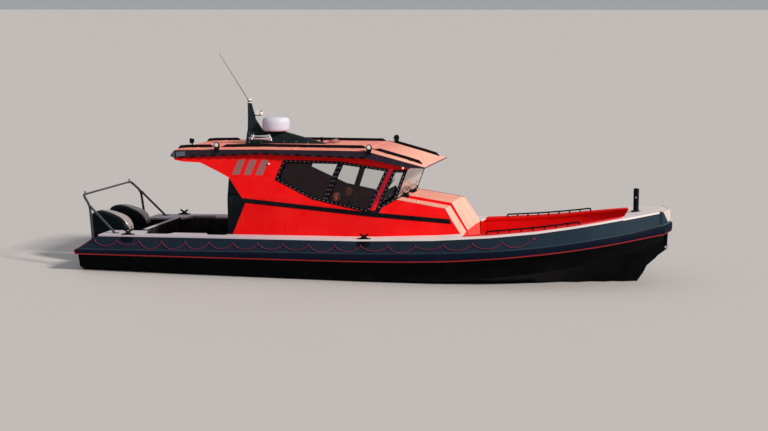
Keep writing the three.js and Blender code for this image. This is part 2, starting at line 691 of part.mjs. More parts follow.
// Roof panel and the fascia round its edge
const ROOF = [
  // x, edge top, fascia's lower edge, half width, crown
  [-4060, 2665, 2625, 1150, 10],
  [-3960, 2760, 2600, 1200, 20],
  [-3790, 2772, 2620, 1205, 25],
  [-2120, 2816, 2726, 1205, 35],
  [60, 2827, 2679, 1205, 35],
  [832, 2628, 2515, 1150, 30],
  [1235, 2522, 2495, 1110, 15],
].map(([x, topZ, lowZ, half, crown]) => {
  const underZ = topZ - Math.min(45, topZ - 2490);
  return { x, topZ, lowZ, half, crown, underZ };
});
const ROOF_INSET = 12;
const ROOF_END_X = -3970; // after end of the cabin sides under the roof

function roofRing({ x, topZ, half, crown, underZ }, inset, rise, sink) {
  const w = half - inset;
  return [
    [x, -w, topZ + rise],
    [x, -0.7 * w, topZ + 0.8 * crown + rise],
    [x, 0.7 * w, topZ + 0.8 * crown + rise],
    [x, w, topZ + rise],
    [x, w, underZ - sink],
    [x, -w, underZ - sink],
  ];
}
const buildRoof = () => loft(ROOF.map((frame) => roofRing(frame, ROOF_INSET, 0, 0)));
const roofTopAt = (x) => atX(ROOF, x, "topZ") + 0.8 * atX(ROOF, x, "crown");
const aboveRoof = (gap) => loft(ROOF.map((frame) => roofRing(frame, ROOF_INSET - 1, FAR, gap)));
const underRoof = (gap) => slab(ROOF, "underZ", -FAR, -gap);
// The roof's quads are split one way, so its top isn't quite symmetrical and both hands are cut away.
function trimmedToRoof(solid) {
  const below = loft(ROOF.map((frame) => roofRing(frame, ROOF_INSET, GAP, FAR)));
  return cut(solid, below, mirrored(below));
}

function buildFascia() {
  const block = loft(
    ROOF.map(({ x, topZ, lowZ, half }) => [
      [x, -half, topZ - 14],
      [x, half, topZ - 14],
      [x, half - 8, lowZ],
      [x, -half + 8, lowZ],
    ]),
  );
  const cabin = house(GAP).intersect(box([ROOF_END_X - GAP, FAR], [-FAR, FAR], [0, FAR]));
  return cut(block, aboveRoof(GAP), cabin);
}

// Side profiles as [x, z]
const MAIN_WINDOW = [[-1660, 2608], [-1812, 2213], [-1004, 1846], [150, 1622], [505, 2472], [-514, 2600]];
const QUARTER_WINDOW = [[262, 1634], [636, 1850], [858, 2455], [606, 2464]];
const SIDE_GLAZING = [...MAIN_WINDOW.slice(0, 4), ...QUARTER_WINDOW.slice(0, 3), MAIN_WINDOW[5]];
const WINDOW_BORDER = 52;
const DIVIDER = { topX: -425, lowX: -812, half: 60 };
const CABIN_SIDE = [
  [CABIN_AFT_X, DECK_Z + GAP],
  [STEP_X - 4, DECK_Z + GAP],
  [1972, 1190],
  [1640, 1706],
  [windscreenX(1856) - 6, 1856],
  [windscreenX(2900) - 1, 2900],
  [ROOF_END_X, 2900],
  [ROOF_END_X, 2563],
  [-3769, 2529],
  [-3414, 2520],
  [-3016, 2348],
  [CABIN_AFT_X, 2234],
];

function windowOpenings() {
  const { topX, lowX, half } = DIVIDER;
  const divider = [[topX - half, 2700], [topX + half, 2700], [lowX + half, 1700], [lowX - half, 1700]];
  const main = prism("y", insetOutline(MAIN_WINDOW, WINDOW_BORDER), -1500, -800);
  const quarter = prism("y", insetOutline(QUARTER_WINDOW, WINDOW_BORDER), -1500, -800);
  return join(cut(main, prism("y", divider, -1600, -700)), quarter);
}
const starboardHalf = () => box([-FAR, FAR], [-FAR, 0], [-FAR, FAR]);

function buildCabinSide() {
  const skin = cut(house(0), house(-WALL)).intersect(starboardHalf());
  const profile = prism("y", CABIN_SIDE, -FAR, 0).intersect(underRoof(GAP));
  return largest(cut(skin.intersect(profile), windowOpenings()));
}

// Black overlay: the wing at the after edge, the band along the knuckle and the window borders.
const BAND = { half: 42, depth: 10, aftX: -2480, foreX: 1760 };
const BORDER_FOOT = [
  [60, 1590],
  [330, 1570],
  [390, 1720],
  [300, 1680],
  [262, 1664],
  [150, 1662],
  [20, 1680],
];
const bandZAt = (x) => 1570 - 0.0785 * (x - 378);
const WING = [
  [CABIN_AFT_X + 2, 2228],
  [CABIN_AFT_X + 2, 1097],
  [-2684, 1097],
  [-2400, 1750],
  [-2440, 1800],
  [-2478, 1841],
];
function buildCabinBand() {
  const strip = (x, side) => [x, bandZAt(x) + side * BAND.half];
  const band = [strip(BAND.aftX, 1), strip(BAND.aftX, -1), strip(BAND.foreX, -1), strip(BAND.foreX - 25, 1)];
  const outlines = [band, WING, MAIN_WINDOW, QUARTER_WINDOW, BORDER_FOOT];
  const plate = cut(house(GAP + BAND.depth), house(GAP));
  const frame = plate.intersect(join(...outlines.map((outline) => prism("y", outline, -FAR, -500))));
  return largest(cut(frame, windowOpenings()));
}

function buildSideGlass() {
  const sheet = cut(house(-WALL - GAP), house(-WALL - GAP - 10));
  const pane = sheet.intersect(prism("y", insetOutline(SIDE_GLAZING, 12), -FAR, -500));
  return largest(cut(pane, screenSlab(-500, 56)));
}

const TRUNK = [[100, 0], [100, 1931], [1640, 1706], [1972, 1190], [STEP_X + 10, 0]];
const HOOD = [
  [780, 1800],
  [790, 1893],
  [1672, 1765],
  [2000, 1225],
  [2008, FOREDECK_Z + GAP],
  [1900, FOREDECK_Z + GAP],
  [1600, 1600],
];
const HOOD_HALF = 540;
function buildTrunk() {
  const hollow = prism("y", insetOutline(TRUNK, WALL), -FAR, FAR);
  const reach = box([600, STEP_X - 4], [-FAR, FAR], [DECK_Z + GAP, FAR]);
  const body = prism("y", TRUNK, -FAR, FAR).intersect(reach);
  const shell = cut(houseSolid(LOWER_HOUSE, -WALL - GAP).intersect(body), hollow);
  return join(shell, cut(prism("y", HOOD, -HOOD_HALF, HOOD_HALF), hollow));
}

function screenSlab(from, to) {
  const [low, high] = [1800, 2900];
  const line = (shift) => [[windscreenX(low) - shift, low], [windscreenX(high) - shift, high]];
  return prism("y", [...line(to), ...line(from).reverse()], -FAR, FAR);
}

function overTrunk() {
  const outline = [TRUNK[1], TRUNK[2], [FAR, TRUNK[2][1]], [FAR, FAR], [TRUNK[1][0], FAR]];
  return prism("y", outline.map(([x, z]) => [x, z + GAP]), -FAR, FAR);
}
const screenGlass = (grow) => {
  const { low, high, lap, half, glass } = WINDSCREEN;
  const pane = box([0, 2000], [-half - grow, half + grow], [low - lap - grow, high + lap + grow]);
  return pane.intersect(screenSlab(GAP - grow, GAP + glass + grow));
};
function buildWindscreenFrame() {
  const { low, high, post, postHalf, depth } = WINDSCREEN;
  const sheet = houseSolid(UPPER_HOUSE, -WALL - GAP).add(houseSolid(LOWER_HOUSE, -WALL - GAP));
  const frame = sheet.intersect(screenSlab(GAP, depth)).intersect(underRoof(GAP)).intersect(overTrunk());
  const [inner, outer] = [post + postHalf, 900];
  const side = [[inner, low], [outer, low], [outer - 28, high], [inner, high]];
  const panes = [
    side,
    side.map(([y, z]) => [-y, z]).reverse(),
    [[-post + postHalf, low], [post - postHalf, low], [post - postHalf, high], [-post + postHalf, high]],
  ];
  return cut(frame, ...panes.map((pane) => prism("x", pane, 0, 2000)), screenGlass(GAP));
}

// After bulkhead of the cabin with its door. The hinge pins stand on the after face, on the port side.
const AFT_WALL_X = [-2740, -2700];
const DOOR = {
  half: 345,
  low: 645,
  high: 2445,
  gap: 7,
  hingeX: -2752,
  hingeY: 359,
  pin: 9,
  hinges: [860, 2180],
};
const DOOR_LIGHT = { half: 210, low: 1500, high: 2250 };
const HANDLE = { y: [-300, -280], z: [1180, 1380], foot: 20, aftX: [-2790, -2775] };
function buildAftBulkhead() {
  const { half, low, high, gap, hingeX, hingeY, pin, hinges } = DOOR;
  const slice = box(AFT_WALL_X, [-FAR, FAR], [DECK_Z + GAP, FAR]).intersect(underRoof(GAP));
  const wall = house(-WALL - GAP).intersect(slice);
  const opening = box([-3000, -2500], [-half - gap, half + gap], [low - gap, high + gap]);
  const knuckles = hinges.flatMap((z) =>
    [[z - 45, z - 15], [z + 45, z + 75]].map(([from, to]) => {
      const barrel = rod([hingeX, hingeY, from], [hingeX, hingeY, to], pin);
      return join(barrel, box([hingeX - 4, AFT_WALL_X[0] + 1], [hingeY, hingeY + 34], [from, to]));
    }),
  );
  return join(cut(wall, opening), ...knuckles);
}

function buildDoor() {
  const { half, low, high, hingeX, hingeY, pin, hinges } = DOOR;
  const leaf = box(AFT_WALL_X, [-half, half], [low, high]);
  const light = box([-3000, -2500], [-DOOR_LIGHT.half, DOOR_LIGHT.half], [DOOR_LIGHT.low, DOOR_LIGHT.high]);
  const knuckles = hinges.map((z) => {
    const [from, to] = [z - 15 + GAP, z + 45 - GAP];
    const barrel = rod([hingeX, hingeY, from], [hingeX, hingeY, to], pin);
    const strap = box([hingeX - 4, AFT_WALL_X[0] - 6], [hingeY - 60, hingeY], [from, to]);
    return join(barrel, strap, box([hingeX, AFT_WALL_X[0] + 1], [hingeY - 60, hingeY - 25], [from, to]));
  });
  const { y, z: [foot, head], foot: width, aftX } = HANDLE;
  const grip = box(aftX, y, HANDLE.z);
  const feet = [foot, head - width].map((z) => box([aftX[0], AFT_WALL_X[0] + 1], y, [z, z + width]));
  return join(cut(leaf, light), ...knuckles, grip, ...feet);
}

// Inside the wheelhouse
const CONSOLE = { aftX: 60, faceLow: 1250, faceX: 180, faceHigh: 1640, half: 900 };
const WHEEL = { y: -480, reach: 185, rim: 14, stand: 130 };
function buildConsole() {
  const { aftX, faceLow, faceX, faceHigh, half } = CONSOLE;
  const [footZ, foreX] = [DECK_Z + GAP, 560];
  const outline = [[aftX, footZ], [aftX, faceLow], [faceX, faceHigh], [foreX, 1780], [foreX, footZ]];
  return prism("y", outline, -half, half);
}

function buildSteeringWheel() {
  const { aftX, faceLow, faceX, faceHigh } = CONSOLE;
  const face = new THREE.Vector2(faceX - aftX, faceHigh - faceLow).normalize();
  const tilt = -THREE.MathUtils.radToDeg(Math.acos(face.x));
  const rim = [];
  for (let i = 0; i <= 6; i++) {
    const angle = (i * Math.PI) / 3;
    rim.push([WHEEL.reach + WHEEL.rim * Math.cos(angle), WHEEL.stand + WHEEL.rim * Math.sin(angle)]);
  }
  const spokes = [90, 210, 330].map((degrees) => {
    const angle = THREE.MathUtils.degToRad(degrees);
    const tip = [WHEEL.reach * Math.sin(angle), WHEEL.reach * Math.cos(angle), WHEEL.stand];
    return rod([0, 0, WHEEL.stand - 12], tip, 10, 6);
  });
  const column = rod([0, 0, GAP], [0, 0, WHEEL.stand + 10], 32, 10);
  const wheel = join(turned(rim, [0, 0, 0], 20), ...spokes, column);
  return wheel.rotate([0, tilt, 0]).translate([(aftX + faceX) / 2, WHEEL.y, (faceLow + faceHigh) / 2]);
}

function buildHelmSeat(y) {
  const plinth = box([-560, -300], [y - 120, y + 120], [DECK_Z + GAP, 975]);
  const cushion = box([-660, -190], [y - 245, y + 245], [970, 1100]);
  const back = prism("y", [[-660, 1090], [-560, 1090], [-640, 1700], [-730, 1700]], y - 225, y + 225);
  return join(plinth, cushion, back);
}

function buildBench() {
  const seat = box([-2500, -1300], [-1225, -760], [DECK_Z + GAP, 1040]);
  return join(seat, box([-2500, -1300], [-1225, -1130], [1035, 1480]));
}

// Mast on the roof: a broad wedge under the radome and a swept fin behind it.
const RADOME = { x: -2160, z: 3100, reach: 288 };
function buildMast() {
  const plan = (z, aft, fore, half) => {
    const port = [[fore, half * 0.4, z], [aft, half, z]];
    return [...port.map(([x, y]) => [x, -y, z]).reverse(), ...port];
  };
  const wedge = loft([plan(2780, -2775, -810, 190), plan(RADOME.z - 12, -2762, -1985, 90)]);
  const finPlans = [[3060, -2760, -2420, 75], [3330, -2757, -2600, 50], [3670, -2765, -2690, 34]];
  const fin = loft(finPlans.map((level) => plan(...level)));
  const platform = turned([[0, -14], [200, -14], [200, 0], [0, 0]], [RADOME.x, 0, RADOME.z], 20);
  const bracket = box([-2700, -2490], [-32, 32], [3405, 3425]);
  const camera = box([-2590, -2490], [-42, 42], [3424, 3520]);
  const head = turned([[0, 0], [40, 0], [40, 60], [30, 85], [0, 90]], [-2728, 0, 3670], 12);
  const whipFoot = rod([-2755, 0, 3665], [-2765, 0, 3740], 14, 8);
  const whip = rod([-2764, 0, 3735], [-3390, 0, 4700], 7, 6, 4);
  return trimmedToRoof(join(wedge, fin, platform, bracket, camera, head, whipFoot, whip));
}

function buildRadome() {
  const { x, z, reach } = RADOME;
  const profile = [
    [0, GAP],
    [reach - 35, GAP],
    [reach, 60],
    [reach - 3, 205],
    [reach - 40, 265],
    [reach - 120, 288],
    [0, 292],
  ];
  return turned(profile, [x, 0, z], 28);
}

const HORN = { x: -2560, y: -350, z: 2975, flare: 60 };
function buildHorn() {
  const { x, y, z, flare } = HORN;
  const trumpet = (side, length) => {
    const along = (distance) => [x + distance, y + side, z];
    return join(
      rod(along(0), along(length), 14, 10),
      rod(along(length - flare), along(length), 15, 10, 44),
      rod(along(-40), along(10), 34, 10),
    );
  };
  const bridge = box([-2590, -2540], [y - 60, y + 60], [z - 45, z - 25]);
  const post = box([-2580, -2550], [y - 15, y + 15], [roofTopAt(-2565), z - 30]);
  const foot = box([-2620, -2510], [y - 50, y + 50], [roofTopAt(-2620) - 10, roofTopAt(-2510) + 10]);
  const webs = [-50, 50].map((side) => box([-2585, -2555], [y + side - 6, y + side + 6], [z - 40, z]));
  return trimmedToRoof(join(trumpet(-50, 420), trumpet(50, 330), bridge, ...webs, post, foot));
}

// Low boards along the roof, on a common base strip.
const RAILS = [[-4050, -3230], [-3045, -20], [165, 1135]];
const RAIL = { y: 860, half: 13, height: 78, slope: 85, strip: 9 };
function buildRoofRail() {
  const knees = ROOF.map(({ x }) => x);
  const along = (from, to) => [from, ...knees.filter((x) => x > from + 5 && x < to - 5), to];
  const across = [-RAIL.y - RAIL.half, -RAIL.y + RAIL.half];
  const foundation = along(RAILS[0][0], RAILS.at(-1)[1]).map((x) => ({ x, z: roofTopAt(x) }));
  const length = [RAILS[0][0], RAILS.at(-1)[1]];
  const strip = slab(foundation, "z", -8, RAIL.strip).intersect(box(length, across, [0, FAR]));
  const boards = RAILS.map(([from, to]) => {
    const foot = along(from, to).map((x) => [x, roofTopAt(x) - 6]);
    const head = along(from + RAIL.slope, to - RAIL.slope / 2).map((x) => [x, roofTopAt(x) + RAIL.height]);
    return prism("y", [...foot, ...head.reverse()], ...across);
  });
  return trimmedToRoof(join(strip, ...boards));
}

// Floodlights: place, and which way they face. Those at the sides reach over the fascia.
const FLOODLIGHTS = [
  ["fore_starboard", 130, -1130, [0, -1]],
  ["fore_port", 130, 1130, [0, 1]],
  ["aft_starboard", -3040, -1130, [0, -1]],
  ["aft_port", -3040, 1130, [0, 1]],
  ["stern", -3925, -230, [-1, 0]],
].map(([name, x, y, facing]) => ({ name, x, y, facing }));
const LAMP = { reach: 56, rise: 98, back: 34, front: 44, arm: 34, thick: 45 };
function buildFloodlight({ x, y, facing: [fx, fy] }) {
  const { reach, rise, back, front, arm, thick } = LAMP;
  const z = atX(ROOF, x, "topZ") + (fy ? GAP : 12);
  const middle = y + 60 * fy;
  const foot = box([x - arm, x + arm], [y - arm, y + arm], [z - 40, z + 12]);
  const post = rod([x, middle, z + 5], [x, middle, z + rise - 30], 16, 8);
  const along = (shift) => [x + shift * fx, middle + shift * fy, z + rise];
  const lamp = rod(along(-back), along(front), reach, 14);
  if (!fy) return trimmedToRoof(join(foot, post, lamp));
  const fascia = Math.max(1206, atX(ROOF, x, "half") + 1);
  const outwards = (from, to) => [fy * from, fy * to].sort((a, b) => a - b);
  const over = box([x - arm, x + arm], outwards(Math.abs(y), fascia + 38), [z, z + thick]);
  const apron = box([x - thick, x + thick], outwards(fascia, fascia + 40), [z - 50, z + thick]);
  return trimmedToRoof(join(foot, over, apron, post, lamp));
}

// Bent frame over the outboards
function buildSternFrame() {
  const foot = [-5680, 1420, 860];
  const knee = [-5760, 1365, 1586];
  const corner = [-5950, 1255, 1800];
  const port = [foot, knee, corner];
  const starboard = port.map(([x, y, z]) => [x, -y, z]);
  const hoop = bentTube([...starboard, ...port.slice().reverse()], 31, { bend: 120, steps: 30, sides: 8 });
  const struts = [-1, 1].map((side) => rod([-5757, 1365 * side, 1582], [-5190, 1405 * side, 1020], 27));
  const lights = [-1, 1].map((side) => rod([-5950, 1170 * side, 1790], [-5950, 1170 * side, 1895], 14, 8));
  const foreOfSlope = box([STERN_SLOPE[0].x, FAR], [-FAR, FAR], [-FAR, FAR]);
  const underDeck = slab(SHEER, "capZ", -FAR, GAP).intersect(foreOfSlope);
  return cut(join(hoop, ...struts, ...lights), underDeck, beyondSlope(-FAR, GAP));
}

const BOW_POST = { x: 5280, reach: 55, top: 2090, pin: 1925 };
function buildBowPost() {
  const { x, reach, top, pin } = BOW_POST;
  const post = rod([x, 0, 1500], [x, 0, top], reach, 16);
  const flange = rod([x, 0, 1500], [x, 0, capZAt(x) + 22], reach + 45, 16);
  const cross = rod([x, -120, pin], [x, 120, pin], 13, 8);
  return cut(join(post, flange, cross), slab(SHEER, "capZ", -FAR, GAP));
}

const FORE_RAIL = { from: [2510, 1300], to: [4280, 1050], height: 95, bar: 14, spans: 9 };
function buildForeRail() {
  const { from, to, height, bar, spans } = FORE_RAIL;
  const place = (share, up) => {
    const [x, y] = [0, 1].map((i) => from[i] + (to[i] - from[i]) * share);
    return [x, -y, capZAt(x) + up];
  };
  const top = [0, 0.35, 0.56, 0.8, 1].map((share) => place(share, height));
  const rail = bentTube([place(0, -20), ...top, place(1, -20)], bar, { bend: 50, steps: 24, sides: 6 });
  const posts = [];
  for (let i = 1; i < spans; i++) posts.push(rod(place(i / spans, -20), place(i / spans, height), 10, 6));
  return cut(join(rail, ...posts), slab(SHEER, "capZ", -FAR, GAP));
}

// Lifeline hung in scallops from beckets under the side deck's edge.
const LIFELINE = {
  from: -5540,
  scallops: 17,
  first: 487,
  growth: 2.3,
  drop: 125,
  sag: 118,
  rope: 7,
  stand: 15,
};
const becketX = (i) => LIFELINE.from + LIFELINE.first * i + LIFELINE.growth * i * i;
function becketZ(x) {
  const under = capZAt(x) - LIFELINE.drop;
  const onSlope = atX(STERN_SLOPE.slice().reverse(), x, "z") - 70;
  return x < STERN_SLOPE[0].x ? Math.min(under, onSlope) : under;
}
function buildLifeline() {
  const { scallops, rope, stand } = LIFELINE;
  const place = (x, z, out) => new THREE.Vector3(x, -sideYAt(x, panelDistance(x, z) + out), z);
  const pieces = [];
  for (let i = 0; i <= scallops; i++) {
    const x = becketX(i);
    const z = becketZ(x);
    const corners = [[x - 26, 1], [x + 26, 1], [x + 26, stand], [x - 26, stand]];
    const plan = corners.map(([px, out]) => [px, -sideYAt(px, panelDistance(px, z - 20) + out)]);
    pieces.push(prism("z", plan, z - 20, z + 20));
    if (i === scallops) break;
    const nextX = becketX(i + 1);
    const middle = (x + nextX) / 2;
    const lowZ = Math.max((z + becketZ(nextX)) / 2 - LIFELINE.sag, kneeZAt(middle) + 22);
    const low = place(middle, lowZ, rope + 8);
    const ends = [place(x, z, rope + 4), place(nextX, becketZ(nextX), rope + 4)];
    const control = low.multiplyScalar(2).sub(ends[0].clone().add(ends[1]).multiplyScalar(0.5));
    pieces.push(sweep(new THREE.QuadraticBezierCurve3(ends[0], control, ends[1]), rope, 3, 5));
  }
  return join(...pieces);
}

// Hull and decks
addPiece("hull", buildHull(), "hull");
addPiece("deck", buildDeck(), "deck");
addPiece("foredeck", buildForedeck(), "red");
addPair("collar", buildCollar(), "collar");
addPair("side_deck", buildSideDeck(), "pale");
addPiece("bow_deck", buildBowDeck(), "pale");
addPiece("bow_pad", buildBowPad(), "pale");
addPiece("fore_bulwark", buildForeBulwark(), "red");
addPair("aft_bulwark", buildAftBulwark(), "black");
addPiece("well_bulkhead", buildWellBulkhead(), "black");

// Deck fittings
addPiece("stern_frame", buildSternFrame(), "mast");
addPiece("bow_post", buildBowPost(), "black");
addPair("foredeck_rail", buildForeRail(), "black");
addPair("lifeline", buildLifeline(), "rope");

// Wheelhouse
addPair("cabin_side", buildCabinSide(), "red");
addPair("cabin_band", buildCabinBand(), "black");
addPair("side_glass", buildSideGlass(), "glass");
addPiece("trunk", buildTrunk(), "red");
addPiece("roof", buildRoof(), "red");
addPiece("roof_fascia", buildFascia(), "fascia");
addPiece("windscreen_frame", buildWindscreenFrame(), "black");
addPiece("windscreen_glass", screenGlass(0), "glass");
addPiece("cabin_aft_bulkhead", buildAftBulkhead(), "red");
addPiece("cabin_door", buildDoor(), "red");
addPiece("helm_console", buildConsole(), "black");
addPiece("steering_wheel", buildSteeringWheel(), "black");
addPair("helm_seat", buildHelmSeat(-480), "seat");
addPair("cabin_bench", buildBench(), "seat");

// On the roof
addPiece("mast", buildMast(), "mast");
addPiece("radome", buildRadome(), "white");
addPiece("horn", buildHorn(), "chrome");
addPair("roof_rail", buildRoofRail(), "black");
for (const light of FLOODLIGHTS) addPiece(`floodlight_${light.name}`, buildFloodlight(light), "black");

// Outboards
addPair("clamp_bracket", clampBracket(-MOTOR_Y), "cowl");
addPair("swivel_bracket", swivelBracket(-MOTOR_Y), "cowl");
addPair("motor_leg", motorLeg(-MOTOR_Y), "cowl");
addPair("motor_cowl", motorCowl(-MOTOR_Y), "cowl");
addPair("propeller", propeller(-MOTOR_Y), "chrome");

export default boat;
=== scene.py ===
import json
import math
import random

import bmesh
import bpy
from mathutils import Matrix, Vector
from mathutils.bvhtree import BVHTree

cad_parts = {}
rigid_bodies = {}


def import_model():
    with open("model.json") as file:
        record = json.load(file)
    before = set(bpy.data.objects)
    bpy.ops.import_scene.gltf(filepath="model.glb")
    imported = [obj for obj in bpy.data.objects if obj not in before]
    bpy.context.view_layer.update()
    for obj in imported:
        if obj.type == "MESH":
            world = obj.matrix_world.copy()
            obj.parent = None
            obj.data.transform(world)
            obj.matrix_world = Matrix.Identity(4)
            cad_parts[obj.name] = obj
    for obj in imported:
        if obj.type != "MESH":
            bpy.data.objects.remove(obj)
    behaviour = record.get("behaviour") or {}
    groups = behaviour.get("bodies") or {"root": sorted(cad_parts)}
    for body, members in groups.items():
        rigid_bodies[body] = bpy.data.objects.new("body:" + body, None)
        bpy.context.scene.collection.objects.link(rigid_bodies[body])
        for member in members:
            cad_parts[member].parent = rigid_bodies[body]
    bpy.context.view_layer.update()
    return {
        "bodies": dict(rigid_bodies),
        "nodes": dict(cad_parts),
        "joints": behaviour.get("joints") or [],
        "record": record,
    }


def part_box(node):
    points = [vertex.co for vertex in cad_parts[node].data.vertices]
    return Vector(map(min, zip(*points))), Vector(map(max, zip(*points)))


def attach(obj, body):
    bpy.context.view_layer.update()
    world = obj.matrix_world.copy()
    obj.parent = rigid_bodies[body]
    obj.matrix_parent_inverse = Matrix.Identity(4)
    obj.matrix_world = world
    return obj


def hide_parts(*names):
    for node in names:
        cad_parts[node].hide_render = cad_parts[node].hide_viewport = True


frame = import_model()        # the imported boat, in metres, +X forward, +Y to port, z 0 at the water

nodes = frame["nodes"]
sides = {"starboard": -1, "port": 1}
dice = random.Random(12)


def linked(name, data):
    made = bpy.data.objects.new(name, data)
    bpy.context.scene.collection.objects.link(made)
    return made


# Camera where the photographer stood, worked out from the photo's vanishing points; angles in degrees
camera = {"place": (7.5265, -30.7743, 5.3983), "down": 7.6612, "left": 13.4836, "lens": 72.66}


def makeCamera():
    data = bpy.data.cameras.new("photoCamera")
    data.lens, data.sensor_width, data.clip_end = camera["lens"], 36, 6000
    eye = linked("photoCamera", data)
    eye.location = camera["place"]
    eye.rotation_euler = (math.radians(90 - camera["down"]), 0, math.radians(camera["left"]))
    bpy.context.scene.camera = eye


makeCamera()
print("camera is in place")


# Node trees
class Web:
    # short calls for building one node tree
    def __init__(self, tree):
        self.tree = tree

    def node(self, kind, **settings):
        made = self.tree.nodes.new("ShaderNode" + kind)
        for key, value in settings.items():
            setattr(made, key, value)
        return made

    def plug(self, value, socket):
        if isinstance(value, bpy.types.NodeSocket):
            self.tree.links.new(value, socket)
        else:
            socket.default_value = value

    def fed(self, made, *values):
        # plugs the values into the node's first sockets
        for value, socket in zip(values, made.inputs):
            self.plug(value, socket)
        return made.outputs

    def add(self, a, b, clamp=False):
        return self.fed(self.node("Math", operation="ADD", use_clamp=clamp), a, b)[0]

    def times(self, a, b):
        return self.fed(self.node("Math", operation="MULTIPLY"), a, b)[0]

    def dot(self, a, b):
        return self.fed(self.node("VectorMath", operation="DOT_PRODUCT"), a, b)["Value"]

    def mix(self, share, a, b):
        made = self.node("Mix", data_type="RGBA")
        for value, place in ((share, 0), (a, 6), (b, 7)):
            self.plug((*value, 1) if isinstance(value, tuple) else value, made.inputs[place])
        return made.outputs[2]

    def noise(self, place, scale, detail=3.0, rough=0.55):
        made = self.node("TexNoise")
        for label, value in (("Vector", place), ("Scale", scale), ("Detail", detail), ("Roughness", rough)):
            self.plug(value, made.inputs[label])
        return made.outputs["Fac"]

    def between(self, value, low, high, toLow=0.0, toHigh=1.0):
        return self.fed(self.node("MapRange"), value, low, high, toLow, toHigh)[0]

    def place(self, stretch=None):
        where = self.node("TexCoord").outputs["Object"]
        if stretch is None:
            return where
        made = self.node("Mapping")
        made.inputs["Scale"].default_value = stretch
        return self.fed(made, where)[0]

    def axes(self):
        return self.fed(self.node("SeparateXYZ"), self.place())

    def normal(self):
        return self.node("NewGeometry").outputs["Normal"]


def newGroup(name, output, **inputs):
    tree = bpy.data.node_groups.new(name, "ShaderNodeTree")
    for label, value in inputs.items():
        tree.interface.new_socket(label, in_out="INPUT", socket_type="NodeSocketFloat").default_value = value
    tree.interface.new_socket(output, in_out="OUTPUT", socket_type="NodeSocketFloat")
    return Web(tree), tree.nodes.new("NodeGroupInput").outputs, tree.nodes.new("NodeGroupOutput").inputs[0]


def buildGrain():
    # fine surface grain as a height, with a slow waviness under it
    web, given, out = newGroup("surfaceGrain", "Height", grainScale=400.0, grain=0.5, waveScale=3.0, wave=0.5)
    fine, slow = (web.times(web.noise(web.place(), given[kind + "Scale"], 2.0), given[kind])
                  for kind in ("grain", "wave"))
    web.plug(web.add(fine, slow), out)
    return web.tree


def buildSaltAndSheen():
    # salt with a painted sheen: paler on faces that look up and forward towards the sun, standing in for its highlight,
    # broken by noise, with thin runs of salt down the sides
    web, given, out = newGroup("saltAndPaintedSheen", "Mask", scale=2.5, top=0.5, spread=0.1, runs=0.1)
    flat = web.between(web.dot(web.normal(), (0.6, 0.0, 0.8)), 0.55, 0.97)
    patches = web.between(web.noise(web.place(), given["scale"], 6.0, 0.6), 0.35, 0.75)
    runs = web.between(web.noise(web.place((14, 14, 0.9)), 1.6, 4.0, 0.6), 0.52, 0.8)
    # top: the paler colour on faces turned towards the sun, a painted highlight
    top = web.times(web.times(flat, given["top"]), web.between(patches, 0, 1, 0.8, 1))
    side = web.times(web.times(runs, given["runs"]), web.between(flat, 0, 1, 1, 0))
    web.plug(web.add(web.add(top, web.times(patches, given["spread"])), side, clamp=True), out)
    return web.tree


def buildEdgeWearAndHighlight():
    # where the surface turns sharply, found by comparing its normal with a rounded one; the paler colour there is wear,
    # and on the red paint also a painted highlight along the edges
    web, given, out = newGroup("edgeWearAndHighlight", "Mask", radius=0.006, amount=0.6, scale=40.0)
    bevel = web.node("Bevel", samples=4)
    web.plug(given["radius"], bevel.inputs["Radius"])
    edge = web.between(web.dot(bevel.outputs[0], web.normal()), 0.995, 0.9)
    broken = web.between(web.noise(web.place(), given["scale"], 5.0, 0.65), 0.4, 0.62)
    web.plug(web.times(web.times(edge, broken), given["amount"]), out)
    return web.tree


groups = {"grain": buildGrain(), "saltAndSheen": buildSaltAndSheen(), "wearAndHighlight": buildEdgeWearAndHighlight()}


def placeGroup(web, name, *values):
    made = web.node("Group")
    made.node_tree = groups[name]
    return web.fed(made, *values)[0]


def startLook(name):
    look = bpy.data.materials.new(name)
    look.use_nodes = True
    look.node_tree.nodes.clear()
    web = Web(look.node_tree)
    shader = web.node("BsdfPrincipled")
    web.plug(shader.outputs[0], web.node("OutputMaterial").inputs[0])
    return look, web, shader.inputs


def bump(web, shader, height, distance):
    made = web.node("Bump")
    made.inputs["Distance"].default_value = distance
    web.plug(height, made.inputs["Height"])
    web.plug(made.outputs[0], shader["Normal"])


def coatedLook(name, colour, rough, specular=0.2, top=0.25, spread=0.06, runs=0.08, saltAndSheenColour=(0.62, 0.6, 0.58),
               deep=0.82, aft=None, turn=None, wearAndHighlight=0, wornAndLitEdgeColour=None, metal=0, coat=0, coatRough=0.12,
               grainScale=500, grain=0.15, waveScale=2.2, wave=0.6, relief=0.0012):
    # paint, gel coat, plastic and rubber: colour that drifts a little, salt together with a painted sheen on faces that
    # look up and forward, and worn edges that on the red paint also carry a painted highlight; aft lays a second colour
    # over the part aft of turn, a painted shade on the pale cap
    look, web, shader = startLook(name)
    drift = web.between(web.noise(web.place(), 1.3, 4.0), 0.3, 0.7)
    body = web.mix(drift, tuple(c * deep for c in colour), colour)
    if aft:
        body = web.mix(web.between(web.axes()["X"], *turn), aft, body)
    saltAndSheenMask = placeGroup(web, "saltAndSheen", 2.5, top, spread, runs)
    body = web.mix(saltAndSheenMask, body, saltAndSheenColour)
    if wearAndHighlight:
        body = web.mix(placeGroup(web, "wearAndHighlight", 0.006, wearAndHighlight, 40.0), body, wornAndLitEdgeColour)
    web.plug(body, shader["Base Color"])
    web.plug(web.add(web.between(drift, 0, 1, rough - 0.03, rough + 0.04), web.times(saltAndSheenMask, 0.35)), shader["Roughness"])
    plain = {"Metallic": metal, "Coat Weight": coat, "Coat Roughness": coatRough, "Specular IOR Level": specular}
    for label, value in plain.items():
        shader[label].default_value = value
    bump(web, shader, placeGroup(web, "grain", grainScale, grain, waveScale, wave), relief)
    return look


